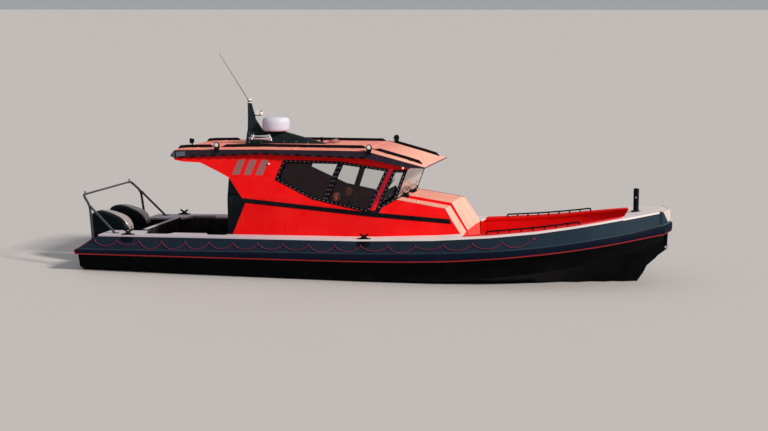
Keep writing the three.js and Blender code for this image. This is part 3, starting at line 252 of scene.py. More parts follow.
def metalLook(name, colour, rough, brushed=0.0):
    look, web, shader = startLook(name)
    saltAndSheenMask = placeGroup(web, "saltAndSheen", 6.0, 0.15, 0.12, 0.05)
    web.plug(web.mix(saltAndSheenMask, colour, (0.45, 0.44, 0.42)), shader["Base Color"])
    lines = web.noise(web.place((2, 60, 60)), 12.0, 3.0)
    web.plug(web.add(web.between(lines, 0.3, 0.7, rough, rough + 0.12), web.times(saltAndSheenMask, 0.3)), shader["Roughness"])
    shader["Metallic"].default_value = 1.0
    bump(web, shader, lines, 0.0002 + 0.0006 * brushed)
    return look


def treadLook(name, colour, rough, top, pitch=0.045):
    # sole with small raised diamonds, with salt and a painted sheen on faces that look up
    look, web, shader = startLook(name)
    where = web.axes()
    waves = []
    for sign in (1, -1):
        across = web.add(where["X"], web.times(where["Y"], sign))
        waves.append(web.fed(web.node("Math", operation="SINE"), web.times(across, 2 * math.pi / pitch))[0])
    studs = web.between(web.times(*waves), 0.25, 0.5)
    saltAndSheenMask = placeGroup(web, "saltAndSheen", 1.8, top, 0.05, 0.05)
    body = web.mix(web.noise(web.place(), 1.2, 4.0), tuple(0.8 * c for c in colour), colour)
    body = web.mix(web.times(saltAndSheenMask, web.between(studs, 0, 1, 1.0, 0.5)), body, (0.5, 0.48, 0.46))
    web.plug(body, shader["Base Color"])
    web.plug(web.between(studs, 0, 1, rough + 0.1, rough), shader["Roughness"])
    bump(web, shader, web.add(studs, placeGroup(web, "grain", 700.0, 0.25, 3.0, 0.2)), 0.0015)
    return look


def glassLook(name, tint, clear=1.0):
    look, web, shader = startLook(name)
    saltAndSheenMask = placeGroup(web, "saltAndSheen", 5.0, 0.05, 0.03, 0.03)
    web.plug(web.mix(saltAndSheenMask, tint, (0.75, 0.74, 0.72)), shader["Base Color"])
    web.plug(web.add(web.times(saltAndSheenMask, 0.2), 0.02), shader["Roughness"])
    shader["Transmission Weight"].default_value = clear
    shader["IOR"].default_value = 1.3
    return look


# every finish by name: colour, then what differs from a plain coat; top weighs a painted highlight, a paler colour on
# faces that look up and forward towards the sun, mixed with salt
foam = dict(grainScale=900, grain=0.5, relief=0.0008)
wavyFoam = dict(foam, wave=1.2, waveScale=4)
gelCoat = dict(rough=0.6, grainScale=260, grain=1.2, relief=0.001)
cloth = dict(grainScale=320, grain=1.5, relief=0.001)
plainRed = dict(rough=0.5, specular=0.05, top=0, spread=0.01)
coats = {
    "hullBlack": dict(colour=(0.0015, 0.0018, 0.0027), rough=0.45, specular=0.03, top=0, spread=0.004, runs=0.008,
                      wave=0.5),
    "collarSlate": dict(wavyFoam, colour=(0.015, 0.033, 0.05), rough=0.6, specular=0.07, top=0.1, spread=0.03,
                        saltAndSheenColour=(0.1, 0.13, 0.16), aft=(0.0092, 0.0165, 0.031), turn=(1.8, 4.6)),
    # a darker slate for the band under the knee, a painted shade, and a paler one for the knee's rounded edge, a
    # painted highlight
    "collarDeep": dict(wavyFoam, colour=(0.0036, 0.007, 0.019), rough=0.6, specular=0.05, top=0, spread=0.02,
                       saltAndSheenColour=(0.05, 0.06, 0.09)),
    "collarEdge": dict(foam, colour=(0.026, 0.056, 0.072), rough=0.55, specular=0.1, top=0.15, spread=0.03,
                       saltAndSheenColour=(0.14, 0.18, 0.21), aft=(0.0125, 0.0235, 0.041), turn=(1.8, 4.6)),
    # the pale pink on faces that look up and forward is a painted highlight with some salt; its pale edges are wear and
    # a painted highlight
    "rescueRed": dict(colour=(0.9, 0.004, 0.0065), rough=0.45, specular=0.06, top=1, spread=0.012, runs=0.015,
                      saltAndSheenColour=(1, 0.62, 0.47), deep=0.9, wearAndHighlight=0.1, wornAndLitEdgeColour=(0.95, 0.35, 0.26)),
    "bulwarkRed": dict(plainRed, colour=(0.95, 0.003, 0.0022), saltAndSheenColour=(0.9, 0.3, 0.2)),
    # a darker red for the forward face of the bulwark's after end, a painted shade
    "endRed": dict(plainRed, colour=(0.5, 0.0026, 0.002), saltAndSheenColour=(0.6, 0.15, 0.1)),
    # a darker red for the post between the windows, a painted shade
    "postRed": dict(plainRed, colour=(0.4, 0.01, 0.03), specular=0.06, saltAndSheenColour=(0.7, 0.3, 0.3)),
    "hornPale": dict(colour=(0.66, 0.65, 0.72), rough=0.2, specular=0.5, coat=0.4, metal=0.25, grain=0.05),
    # near white where the sun falls is a painted highlight, and the lilac after part is a painted shade
    "capPale": dict(gelCoat, colour=(0.88, 0.78, 0.77), top=0.4, saltAndSheenColour=(1, 0.93, 0.9), runs=0.1,
                    aft=(0.47, 0.42, 0.5), turn=(-3, 0.6)),
    "padBeige": dict(gelCoat, colour=(0.62, 0.53, 0.5), rough=0.65, top=0.2, saltAndSheenColour=(0.6, 0.52, 0.5)),
    "bulwarkBlack": dict(colour=(0.0022, 0.0026, 0.0036), rough=0.6, specular=0.06, top=0.04, wearAndHighlight=0.2,
                         wornAndLitEdgeColour=(0.05, 0.05, 0.055)),
    "trimBlack": dict(colour=(0.0022, 0.0036, 0.0054), rough=0.5, specular=0.06, top=0.05, spread=0.012,
                      saltAndSheenColour=(0.12, 0.13, 0.15)),
    "railDark": dict(colour=(0.005, 0.003, 0.006), rough=0.5, specular=0.08, top=0.03, spread=0.02,
                     saltAndSheenColour=(0.14, 0.12, 0.15)),
    "fasciaGrey": dict(colour=(0.026, 0.017, 0.03), rough=0.45, specular=0.1, top=0.3, spread=0.03,
                       saltAndSheenColour=(0.2, 0.19, 0.23)),
    "cornerGrey": dict(colour=(0.11, 0.14, 0.18), rough=0.45, top=0.3, spread=0.03, saltAndSheenColour=(0.28, 0.28, 0.32)),
    "mastGrey": dict(colour=(0.0085, 0.018, 0.021), rough=0.5, specular=0.08, top=0.1, saltAndSheenColour=(0.12, 0.14, 0.15),
                     wearAndHighlight=0.25, wornAndLitEdgeColour=(0.1, 0.12, 0.12)),
    "frameGrey": dict(colour=(0.012, 0.015, 0.02), rough=0.35, specular=0.4, top=0.25, saltAndSheenColour=(0.3, 0.3, 0.32)),
    "radomeWhite": dict(colour=(0.62, 0.62, 0.74), rough=0.4, specular=0.3, top=0.4, saltAndSheenColour=(0.95, 0.92, 0.95),
                        grain=0.05),
    "motorDark": dict(colour=(0.0012, 0.004, 0.0062), rough=0.4, specular=0.06, coat=0.01, runs=0, spread=0,
                      coatRough=0.1, top=0.04, wave=0.3),
    "motorSilver": dict(colour=(0.42, 0.37, 0.36), rough=0.3, specular=0.5, coat=0.3, metal=0.3, top=0.15, wave=0.2),
    "legPale": dict(colour=(0.1, 0.115, 0.13), rough=0.4, specular=0.3),
    "legDark": dict(colour=(0.008, 0.011, 0.014), rough=0.4, specular=0.3, wearAndHighlight=0.4, wornAndLitEdgeColour=(0.3, 0.3, 0.3)),
    "seatDark": dict(cloth, colour=(0.016, 0.014, 0.018), rough=0.55, top=0.05),
    "seatRed": dict(cloth, colour=(1, 0.17, 0.06), rough=0.5, top=0.1),
    "linerDark": dict(colour=(0.36, 0.06, 0.1), rough=0.7, grainScale=200, grain=1, relief=0.001, top=0, spread=0.02),
    "rubberBlack": dict(colour=(0.003, 0.003, 0.0036), rough=0.65, specular=0.06, grainScale=600, grain=0.6, top=0.05,
                        saltAndSheenColour=(0.12, 0.12, 0.12)),
    "stripeRed": dict(colour=(0.46, 0.022, 0.03), rough=0.5, specular=0.1, top=0.1, spread=0.03,
                      saltAndSheenColour=(0.6, 0.28, 0.27)),
    "barGrey": dict(colour=(0.33, 0.13, 0.125), rough=0.5, specular=0.1, top=0, spread=0.12, saltAndSheenColour=(0.38, 0.28, 0.26)),
    "boltPale": dict(colour=(0.27, 0.2, 0.23), rough=0.45, specular=0.4, top=0.1),
    "lampWhite": dict(colour=(0.9, 0.88, 0.86), rough=0.25, specular=0.5, coat=0.3),
    "ropeRed": dict(colour=(0.2, 0.024, 0.072), rough=0.85, specular=0.1, grainScale=900, grain=1.5, relief=0.0015,
                    spread=0.02, saltAndSheenColour=(0.4, 0.24, 0.3)),
}
looks = {name: coatedLook(name, **values) for name, values in coats.items()}
looks["treadDark"] = treadLook("treadDark", (0.045, 0.046, 0.052), 0.6, 0.25)
looks["treadRed"] = treadLook("treadRed", (0.62, 0.02, 0.012), 0.55, 0.15, pitch=0.06)
looks["steel"] = metalLook("steel", (0.62, 0.62, 0.63), 0.22, 0.5)
looks["chrome"] = metalLook("chrome", (0.93, 0.93, 0.96), 0.16)
looks["windowTint"] = glassLook("windowTint", (0.9, 0.91, 0.9))
looks["screenHaze"] = glassLook("screenHaze", (0.96, 0.84, 0.8), 0.68)
print("materials are made:", len(looks))


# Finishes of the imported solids: the width that their edges are rounded to, and their names; * stands for both sides
finishes = {
    "hullBlack": (0.01, "hull"), "treadDark": (0.003, "deck"), "treadRed": (0.003, "foredeck"),
    "collarSlate": (0.012, "collar*"), "capPale": (0.006, "side_deck* bow_deck"), "padBeige": (0.004, "bow_pad"),
    "rescueRed": (0.006, "fore_bulwark cabin_side* trunk roof cabin_aft_bulkhead cabin_door"),
    "bulwarkBlack": (0.006, "aft_bulwark* well_bulkhead"), "frameGrey": (0, "stern_frame"), "mastGrey": (0.003, "mast"),
    "trimBlack": (0.002, "bow_post cabin_band* windscreen_frame helm_console steering_wheel "
                         "floodlight_fore* floodlight_aft* floodlight_stern"),
    "railDark": (0.004, "foredeck_rail* roof_rail*"), "fasciaGrey": (0.005, "roof_fascia"),
    "windowTint": (0, "side_glass*"), "screenHaze": (0, "windscreen_glass"),
    "seatDark": (0.02, "helm_seat* cabin_bench*"), "ropeRed": (0, "lifeline*"),
    "radomeWhite": (0, "radome"), "chrome": (0, "horn"), "motorDark": (0.004, "motor_cowl*"),
    "legDark": (0.004, "clamp_bracket* swivel_bracket* motor_leg*"), "steel": (0.002, "propeller*"),
}


def bothSides(words):
    return [word.replace("*", f"_{side}") for word in words.split() for side in (sides if "*" in word else [""])]


def roundEdges(piece, width, angle):
    edge = piece.modifiers.new("rounded", "BEVEL")
    edge.width, edge.segments, edge.limit_method, edge.angle_limit = width, 2, "ANGLE", math.radians(angle)


def dressNodes():
    for look, (width, names) in finishes.items():
        for node in (nodes[name] for name in bothSides(names)):
            node.data.materials.clear()
            node.data.materials.append(looks[look])
            if "custom_normal" in node.data.attributes:
                node.data.attributes.remove(node.data.attributes["custom_normal"])
            node.data.shade_smooth()
            node.modifiers.new("weld", "WELD").merge_threshold = 0.00005
            flat = node.modifiers.new("flat", "DECIMATE")
            flat.decimate_type = "DISSOLVE"
            flat.angle_limit = math.radians(0.6)
            if width:
                roundEdges(node, width, 28)
            node.modifiers.new("normals", "WEIGHTED_NORMAL").weight = 80


windowRoom = ((-1.9, 1.36), (0.95, 2.37))     # low and high corner of the windows as [x, z]


def paintFaces(name, look, test):
    mesh = nodes[name].data
    mesh.materials.append(looks[look])
    for face in mesh.polygons:
        if test(face.normal, face.center):
            face.material_index = len(mesh.materials) - 1


def paintParts():
    # the faces that look into the cabin, then the windows' edges and a few ends
    linings = {"roof": (0, 0, -1), "cabin_aft_bulkhead": (1, 0, 0), "cabin_door": (1, 0, 0)}
    for name in bothSides("cabin_side* cabin_band*"):
        linings[name] = (0, 1 if name.endswith("starboard") else -1, 0)
    for name, way in linings.items():
        paintFaces(name, "linerDark", lambda normal, middle: normal.dot(Vector(way)) > 0.5 and middle.x > -2.75)
    (lowX, lowZ), (highX, highZ) = windowRoom
    for name in bothSides("cabin_side*"):
        paintFaces(name, "trimBlack", lambda normal, middle: abs(normal.y) < 0.45
                   and lowX < middle.x < highX and lowZ < middle.z < highZ)
    # the forward face of the fore bulwark's after end in a darker red, a painted shade
    paintFaces("fore_bulwark", "endRed", lambda normal, middle: normal.x > 0.7 and middle.x < 2.1)
    paintFaces("roof", "fasciaGrey", lambda normal, middle: abs(normal.y) > 0.85)
    paintFaces("roof_fascia", "cornerGrey", lambda normal, middle: middle.x < -3.97 and normal.x < -0.2)


dressNodes()
paintParts()
print("packed solids have their finishes")


def circle(reach, count):
    return [(reach * math.cos(a), reach * math.sin(a)) for a in (2 * math.pi * j / count for j in range(count))]


class Shape:
    # collects points and faces of one piece; a face keeps the number of its finish
    def __init__(self):
        self.points, self.faces, self.finish = [], [], []

    def add(self, points, faces, look=0):
        start = len(self.points)
        self.points += [tuple(p) for p in points]
        self.faces += [[start + i for i in face] for face in faces]
        self.finish += [look] * len(faces)

    def skin(self, rings, look=0, closed=True, capped=True):
        count = len(rings[0])
        faces = []
        for k in range(len(rings) - 1):
            for j in range(count if closed else count - 1):
                n = (j + 1) % count
                faces.append([k * count + j, (k + 1) * count + j, (k + 1) * count + n, k * count + n])
        if capped:
            last = (len(rings) - 1) * count
            faces += [list(range(count)), [last + j for j in reversed(range(count))]]
        self.add([p for ring in rings for p in ring], faces, look)

    def tube(self, path, reach, segments=12, look=0, reaches=None):
        path = [Vector(p) for p in path]
        across, rings = None, []
        for i, point in enumerate(path):
            along = (path[min(i + 1, len(path) - 1)] - path[max(i - 1, 0)]).normalized()
            across = across or along.orthogonal().normalized()
            across = (across - along * across.dot(along)).normalized()
            other = along.cross(across)
            r = reaches[i] if reaches else reach
            rings.append([point + (across * c + other * s) * r for c, s in circle(1, segments)])
        self.skin(rings, look)

    def turned(self, profile, place=(0, 0, 0), aim=(0, 0, 1), segments=32, look=0):
        # profile is [reach, height] from the foot to the head, along aim
        turn = Vector((0, 0, 1)).rotation_difference(Vector(aim)).to_matrix()
        self.skin([[turn @ Vector((c, s, h)) + Vector(place) for c, s in circle(max(r, 1e-4), segments)]
                   for r, h in profile], look)

    def block(self, low, high, look=0, turn=None, pivot=None):
        corners = [Vector((x, y, z)) for z in (low[2], high[2]) for x, y in
                   ((low[0], low[1]), (high[0], low[1]), (high[0], high[1]), (low[0], high[1]))]
        if turn is not None:
            centre = Vector(pivot) if pivot else (Vector(low) + Vector(high)) / 2
            corners = [turn @ (c - centre) + centre for c in corners]
        self.add(corners, [(0, 3, 2, 1), (4, 5, 6, 7), (0, 1, 5, 4), (1, 2, 6, 5), (2, 3, 7, 6), (3, 0, 4, 7)], look)

    def plate(self, outline, depth, look=0):
        # a flat outline of points with its thickness along depth
        count = len(outline)
        faces = [list(range(count)), [count + i for i in reversed(range(count))]]
        faces += [[i, (i + 1) % count, count + (i + 1) % count, count + i] for i in range(count)]
        self.add([*outline, *(Vector(p) + Vector(depth) for p in outline)], faces, look)

    def mirror(self):
        made = Shape()
        made.add([(x, -y, z) for x, y, z in self.points], [face[::-1] for face in self.faces])
        made.finish = list(self.finish)
        return made


def skinned(rings, **how):
    made = Shape()
    made.skin(rings, **how)
    return made


def slices(outline, ys):
    # an outline of [x, z] at each y
    return [[(x, y, z) for x, z in outline] for y in ys]


def grid(firsts, seconds):
    return [(a, b) for a in firsts for b in seconds]


def makePiece(name, shape, finish, slot, body="hull", replaces=(), sharp=35, rounded=0.0, levels=0):
    mesh = bpy.data.meshes.new(name)
    mesh.from_pydata(shape.points, [], shape.faces)
    for look in [finish] if isinstance(finish, str) else finish:
        mesh.materials.append(looks[look])
    mesh.polygons.foreach_set("material_index", shape.finish)
    work = bmesh.new()
    work.from_mesh(mesh)
    bmesh.ops.remove_doubles(work, verts=work.verts, dist=1e-5)
    bmesh.ops.recalc_face_normals(work, faces=work.faces)
    work.to_mesh(mesh)
    work.free()
    mesh.shade_smooth()
    mesh.set_sharp_from_angle(angle=math.radians(sharp))
    piece = linked(name, mesh)
    if rounded:
        roundEdges(piece, rounded, sharp)
    if levels:
        smooth = piece.modifiers.new("smooth", "SUBSURF")
        smooth.levels = smooth.render_levels = levels
    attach(piece, body)
    if replaces:
        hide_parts(*replaces)
    return piece


def makePair(name, shape, finish, slot, replaces=(), body="hull", **rest):
    # the starboard piece and its mirror image
    for side in sides:
        makePiece(f"{name}_{side}", shape if side == "starboard" else shape.mirror(), finish, slot,
                  body=body if body == "hull" else f"{body}_{side}",
                  replaces=[f"{node}_{side}" for node in replaces], **rest)


# Boat's lines: stations of the ledge that the collar sits on, from the stern to the nose
boat = {
    # x, half breadth, ledge height, knee height, top of the side deck
    "stations": [
        (-5.98, 1.53, 0.362, 0.505, 0.787), (-5.47, 1.548, 0.369, 0.505, 0.787), (-4, 1.6, 0.39, 0.545, 0.822),
        (-2, 1.62, 0.415, 0.595, 0.852), (0, 1.62, 0.44, 0.632, 0.885), (1.5, 1.59, 0.485, 0.685, 0.94),
        (2.6, 1.51, 0.562, 0.75, 1.018), (3.5, 1.365, 0.655, 0.835, 1.11), (4.2, 1.185, 0.745, 0.93, 1.21),
        (4.7, 1.005, 0.82, 1.01, 1.29), (5.15, 0.785, 0.891, 1.085, 1.362), (5.735, 0.385, 0.982, 1.204, 1.451),
        (5.835, 0, 0.996, 1.218, 1.462),
    ],
    "capReach": 0.09,       # edge of the side deck, outboard of the ledge
    "capThickness": 0.035,
    "bulge": 0.18,
    "bowBulge": 0.16,
    "panelFoot": 0.055,
    "slope": ((-5.47, 0.787), (-5.99, 0.45)),   # trims the stern ends of the collar
}


def throughPoints(rows, steps):
    # a smooth curve through rows of numbers, with steps pieces between each two
    def blend(a, b, c, d, t):
        return [0.5 * (2 * q + (r - p) * t + (2 * p - 5 * q + 4 * r - s) * t * t + (3 * q - p - 3 * r + s) * t ** 3)
                for p, q, r, s in zip(a, b, c, d)]
    made = []
    for i in range(len(rows) - 1):
        a, d = rows[max(i - 1, 0)], rows[min(i + 2, len(rows) - 1)]
        made += [blend(a, rows[i], rows[i + 1], d, k / steps) for k in range(steps)]
    return made + [list(rows[-1])]


def rowAt(rows, x):
    # the row at x, between the two rows beside it
    a, b = next(((a, b) for a, b in zip(rows, rows[1:]) if x <= b[0]), rows[-2:])
    share = (x - a[0]) / (b[0] - a[0])
    return [p + (q - p) * share for p, q in zip(a, b)]


def between(a, b, share):
    return {key: a[key] + (b[key] - a[key]) * share for key in a}


def makeStations():
    # the side is a smooth curve up to the shoulder of the nose, and the nose is straight
    rows = boat["stations"]
    curve = [*throughPoints(rows[:-1], 8), list(rows[-1])]
    made = []
    for i, (x, y, ledge, knee, cap) in enumerate(curve):
        before = Vector((x - curve[i - 1][0], y - curve[i - 1][1])) if i else Vector((1, 0))
        after = Vector((curve[i + 1][0] - x, curve[i + 1][1] - y)) if y else Vector((0, -1))
        one, two = (Vector((-way.y, way.x)).normalized() for way in (before, after))
        normal = (one + two) / (1 + one.dot(two)) if y else Vector((1, 0))
        made.append({"x": x, "y": y, "normal": normal, "ledge": ledge, "knee": knee, "cap": cap})
    nose = made.pop()
    return [*made, *(between(made[-1], nose, k / 4) for k in range(1, 5))]


stations = makeStations()


def bulgeAt(x):
    share = min(max((x - 4.7) / 0.6, 0), 1)
    return boat["bulge"] + (boat["bowBulge"] - boat["bulge"]) * share


def offset(station, distance):
    # starboard point at a distance outboard of the ledge
    x = station["x"] + station["normal"].x * distance
    y = station["y"] + station["normal"].y * distance
    return x, -max(y, 0.0)


def placed(station, outline):
    # a section's points, from distances outboard of the ledge and heights
    return [(*offset(station, distance), z) for distance, z in outline]


def stationAt(x):
    # values at x between stations, on the side of the boat
    for a, b in zip(stations, stations[1:]):
        if a["x"] <= x <= b["x"]:
            return between(a, b, (x - a["x"]) / max(b["x"] - a["x"], 1e-6))
    return stations[0] if x < stations[0]["x"] else stations[-1]


def slopeZ(x):
    (topX, topZ), (footX, footZ) = boat["slope"]
    return footZ + (topZ - footZ) * (x - footX) / (topX - footX)


def panelOut(station, z):
    # how far the collar's upper panel stands outboard of the ledge at height z
    top = station["cap"] - boat["capThickness"]
    foot, head = bulgeAt(station["x"]) - boat["panelFoot"], boat["capReach"] - 0.004
    return foot + (head - foot) * (z - station["knee"]) / (top - station["knee"])


def onPanel(x, z, out):
    station = stationAt(x)
    return Vector((*offset(station, panelOut(station, z) + out), z))


def collarOutline(station):
    # the section as distance outboard of the ledge and height, from the inner foot round the top
    foot, knee, bulge = station["ledge"] + 0.0005, station["knee"], bulgeAt(station["x"])
    top = station["cap"] - boat["capThickness"] - 0.0005
    depth = -0.23 if station["x"] < -4.7 else -0.1
    # the rounded edge along the knee, then the rounded foot
    edge = ((0.05, 0.004), (0.036, 0.008), (0.02, 0.014), (0.008, 0.024), (0.001, 0.04), (-0.003, 0.052))
    turn = ((0, 0.07), (0.006, 0.05), (0.018, 0.03), (0.036, 0.012), (0.06, 0))
    return [(depth, foot), (depth, top), (0.078, top), (0.084, top - 0.002), (0.087, top - 0.008),
            (panelOut(station, knee + 0.004), knee + 0.004), *((bulge - d, knee - down) for d, down in edge),
            *((bulge - d, foot + up) for d, up in turn)]


def belowSlope(outline, height):
    # what is over the height is pressed down to it, no further out than the section there
    reach = next((a[0] + (b[0] - a[0]) * (a[1] - height) / (a[1] - b[1]) for a, b in zip(outline[2:], outline[3:])
                  if a[1] > height >= b[1]), 1.0)
    return [(min(d, reach), height) if z > height else (d, z) for d, z in outline]


def makeCollar():
    rings = []
    for station in stations:
        outline = collarOutline(station)
        if station["x"] < -5.4:
            outline = belowSlope(outline, slopeZ(station["x"]))
        rings.append(placed(station, outline))
    skin = skinned(rings)
    # the rounded edge along the knee gets a paler finish, a painted highlight, and the band under it a darker finish, a
    # painted shade
    count = len(rings[0])
    for i, face in enumerate(skin.faces):
        columns = {corner % count for corner in face}
        if len(columns) == 2 and min(columns) >= 6:
            skin.finish[i] = 1 if max(columns) <= 9 else 2
    finish = ["collarSlate", "collarEdge", "collarDeep"]
    makePair("collarSkin", skin, finish, "collar_slate", replaces=["collar"], sharp=32)


# Red stripe on the ledge as [distance inboard of the bulge, height over the collar's foot]
stripe = {
    "outline": ((0.052, 0.004), (0.04, 0.003), (0.026, 0.012), (0.012, 0.024), (0.01, 0.031), (0.022, 0.031)),
    "end": (-5.975, -5.95, -5.92, -5.88, -5.83, -5.78, -5.73),
    "endRise": 0.72,
}


def makeStripe():
    rings = []
    for station in stations:
        bulge, foot = bulgeAt(station["x"]), station["ledge"] + 0.0005
        rings.append(placed(station, [(bulge - d, foot + up) for d, up in stripe["outline"]]))
    made = skinned(rings)
    # the red end turns up round the after end of the collar
    end = []
    for x in stripe["end"]:
        station, top = stationAt(x), slopeZ(x)
        low = station["ledge"] + 0.03 + (x - stripe["end"][0]) * stripe["endRise"]
        reach = max(d for d, z in belowSlope(collarOutline(station), top) if abs(z - top) < 1e-6)
        outline = ((reach - 0.06, top), (reach, top), (reach + 0.002, top - 0.006),
                   (reach + 0.004, min(low, top - 0.01)))
        end.append(placed(station, [(d + 0.002, z + 0.001) for d, z in outline]))
    made.skin(end, closed=False, capped=False)
    makePair("ledgeStripe", made, "stripeRed", "rescue_red", sharp=60)


# Bow deck and the pad round the nose
bow = {
    # the red strips' inner edge as [x, distance from the middle], and how far they stay from the outer edge
    "redStrip": [(2.06, 1.2873), (2.2, 1.2686), (2.4, 1.2418), (2.6, 1.215), (2.8, 1.1839), (3, 1.1528), (3.2, 1.1217),
                 (3.4, 1.0906), (3.6, 1.0507), (3.8, 1.0021), (4, 0.9536), (4.2, 0.905), (4.4, 0.839), (4.6, 0.773),
                 (4.8, 0.695), (5, 0.605), (5.08, 0.569)],
    "redEdge": 0.13,
    "aftX": 5.1003,
    "crown": 0.012,
    "padFrom": (5.722, 0.394),
    "padThickness": 0.022,
    "narrow": 0.66,
    "joint": [(1.984, 0.605), (2, 0.605), (2, 0.93), (1.984, 0.932)],      # [x, z]
    "jointY": (-1.066, -1),
}


def padThick(share):
    # the pad grows out of the shoulder towards the nose
    return 0.004 + (bow["padThickness"] - 0.004) * share


def makeBowDeck():
    edge, aftX, low = boat["capReach"], bow["aftX"], boat["capThickness"]
    # the first section is the one whose edge stands at aftX
    start = stationAt(max(x / 200 for x in range(980, 1021) if offset(stationAt(x / 200), edge)[0] <= aftX))
    rings = []
    for station in [start, *(s for s in stations if offset(s, edge)[0] > aftX + 0.01)]:
        x, y = offset(station, edge)
        x, z = max(x, aftX), station["cap"]
        line = [(x, -y * share * 0.994, z + bow["crown"] * (1 - share * share) * min(1, -y))
                for share in (k / 8 for k in range(-8, 9))]
        rings.append([(x, y, z - 0.006), *line, (x, -y, z - 0.006), (x, -y, z - low), (x, y, z - low)])
    makePiece("bowDeckSkin", skinned(rings), "capPale", "deck_pale", replaces=["bow_deck"], sharp=40)


def makeRedStrips():
    inners = bow["redStrip"]
    first, last = inners[0][0], inners[-1][0]
    rings = []
    for station in [stationAt(first), *(s for s in stations if first + 0.01 < s["x"] < last - 0.01), stationAt(last)]:
        x, z = station["x"], station["cap"]
        inner = 0.004 - rowAt(inners, x)[1]
        outer = offset(station, boat["capReach"] - bow["redEdge"])
        rings.append([(x, inner, z - 0.037), (x, inner, z + 0.008), (*outer, z + 0.008), (*outer, z - 0.006)])
    makePair("redDeckStrip", skinned(rings), "bulwarkRed", "rescue_red")
    # the joint between the trunk's front and the bulwark's after end, in the same darker red, a painted shade
    makePair("trunkJoint", skinned(slices(bow["joint"], bow["jointY"])), "endRed", "rescue_red")


def makeBowPad():
    shoulder = len(stations) - 5
    x, y = bow["padFrom"]
    start = {**stations[shoulder], "x": x, "y": y, "normal": stations[shoulder - 1]["normal"]}
    rings = []
    for share, station in zip((0, 0, 0.25, 0.5, 0.75, 1), [start, *stations[shoulder:]]):
        thick = padThick(share)
        foot, head = bulgeAt(station["x"]) - 0.054, boat["capReach"] + 0.001
        low, high = station["knee"] + 0.003, station["cap"] + 0.001
        rings.append(placed(station, [
            (foot, low), (foot + thick * 0.7, low), (foot + thick, low + 0.008), (head + thick, high - 0.01),
            (head + thick * 0.6, high), (head, high), (0.06, high), (0.06, high - 0.02)]))
    port = [[(x, -y, z) for x, y, z in ring] for ring in reversed(rings[:-1])]
    pad = skinned([*rings, *port])
    row = len(rings[0])
    last = row * (len(rings) + len(port) - 1)
    pad.finish = [1 if min(face) < row or max(face) >= last else 0 for face in pad.faces]
    # a dark patch over the corner on each side
    corners = ((-0.03, head, "cap", -0.012), (-0.03, foot, "knee", 0.001), (bow["narrow"], foot, "knee", 0.001),
               (0.16, head, "cap", -0.012))
    for flip in (1, -1):
        patch = []
        for share, distance, level, up in corners:
            station = between(stations[shoulder], stations[-1], share)
            x, y = offset(station, distance + padThick(share) + 0.0015)
            patch.append((x, y * flip, station[level] + up))
        pad.add(patch, [[0, 1, 2, 3]], 1)
    makePiece("bowPadSkin", pad, ["padBeige", "collarSlate"], "deck_pale", replaces=["bow_pad"], sharp=30)


def makeBow():
    makeBowDeck()
    makeRedStrips()
    makeBowPad()


# Lifeline in scallops, each held by a rubber becket
lifeline = {
    "from": -5.54,
    "first": 0.487,
    "growth": 0.0023,
    "drop": 0.125,
    "rope": 0.0066,
    "sags": (0.1, 0.08, 0.147, 0.14, 0.128, 0.107, 0.108, 0.098, 0.1, 0.128, 0.108, 0.098, 0.132, 0.072, 0.11, 0.11,
             0.12),
    "steps": 14,            # pieces of each scallop
    "patch": (0.02, 0.022),      # half length and half height of a becket's patch
    "loop": ((-0.02, 0.003), (-0.014, 0.016), (0, 0.022), (0.014, 0.016), (0.02, 0.003)),
    "knot": [(0.004, -0.02), (0.014, -0.014), (0.017, 0), (0.014, 0.014), (0.004, 0.02)],
    "tip": [(0.026, 0), (0.024, 0.01), (0.004, 0.052)],
}


def becketPlace(i):
    x = lifeline["from"] + lifeline["first"] * i + lifeline["growth"] * i * i
    z = stationAt(x)["cap"] - lifeline["drop"]
    return x, min(z, slopeZ(x) - 0.07) if x < -5.47 else z


def makeLifeline():
    rope, beckets = Shape(), Shape()
    reach, sags, steps = lifeline["rope"], lifeline["sags"], lifeline["steps"]
    knots = [becketPlace(i) for i in range(len(sags) + 1)]
    path = []
    for (x, z), (nextX, nextZ), sag in zip(knots, knots[1:], sags):
        lean = dice.uniform(-0.12, 0.12)
        for k in range(steps):
            t = k / steps
            hang = sag * (1 - abs(2 * t - 1) ** 2.3) * (1 + lean * (2 * t - 1))
            px, pz = x + (nextX - x) * t, z + (nextZ - z) * t - hang
            pz = max(pz, stationAt(px)["knee"] + 0.006)
            path.append(onPanel(px, pz, reach + 0.004 + 0.006 * (1 - abs(2 * t - 1))))
    path.append(onPanel(*knots[-1], reach + 0.004))
    rope.tube(path, reach, 8)
    for x, z in (knots[0], knots[-1]):
        rope.turned(lifeline["knot"], onPanel(x + 0.012, z + 0.006, reach + 0.008), (1, 0, 0.3), 12)
    x, z = knots[-1]
    rope.turned(lifeline["tip"], onPanel(x + 0.03, z + 0.012, reach + 0.006), (1, 0, 0.35), 12)
    half, rise = lifeline["patch"]
    for x, z in knots:
        corners = ((x - half, z - rise), (x + half, z - rise), (x + half, z + rise), (x - half, z + rise))
        thick = (onPanel(x, z, 1) - onPanel(x, z, 0)) * 0.0035
        beckets.plate([onPanel(*corner, 0.001) for corner in corners], thick, look=1)
        beckets.tube([onPanel(x, z + dz, out) for dz, out in lifeline["loop"]], 0.0065, 8)
    makePair("lifelineRope", rope, "ropeRed", "rope_red", replaces=["lifeline"], sharp=60)
    makePair("lifelineBeckets", beckets, ["ropeRed", "collarSlate"], "rope_red", rounded=0.001)


# Cross bollards on the side decks, with a worn pad down the collar under each
bollards = {
    "x": (-4.83, 0.14),
    "inset": 0.06,
    "base": (0.128, 0.044, 0.019),      # half length, half breadth, height
    "bolt": [(0.011, 0.018), (0.011, 0.024), (0.006, 0.027)],
    "padHalf": (0.11, 0.13, 0.14, 0.14, 0.125, 0.1),      # half widths of the pad, from its head
    "padBolt": [(0.009, 0), (0.009, 0.004), (0.005, 0.006)],
}


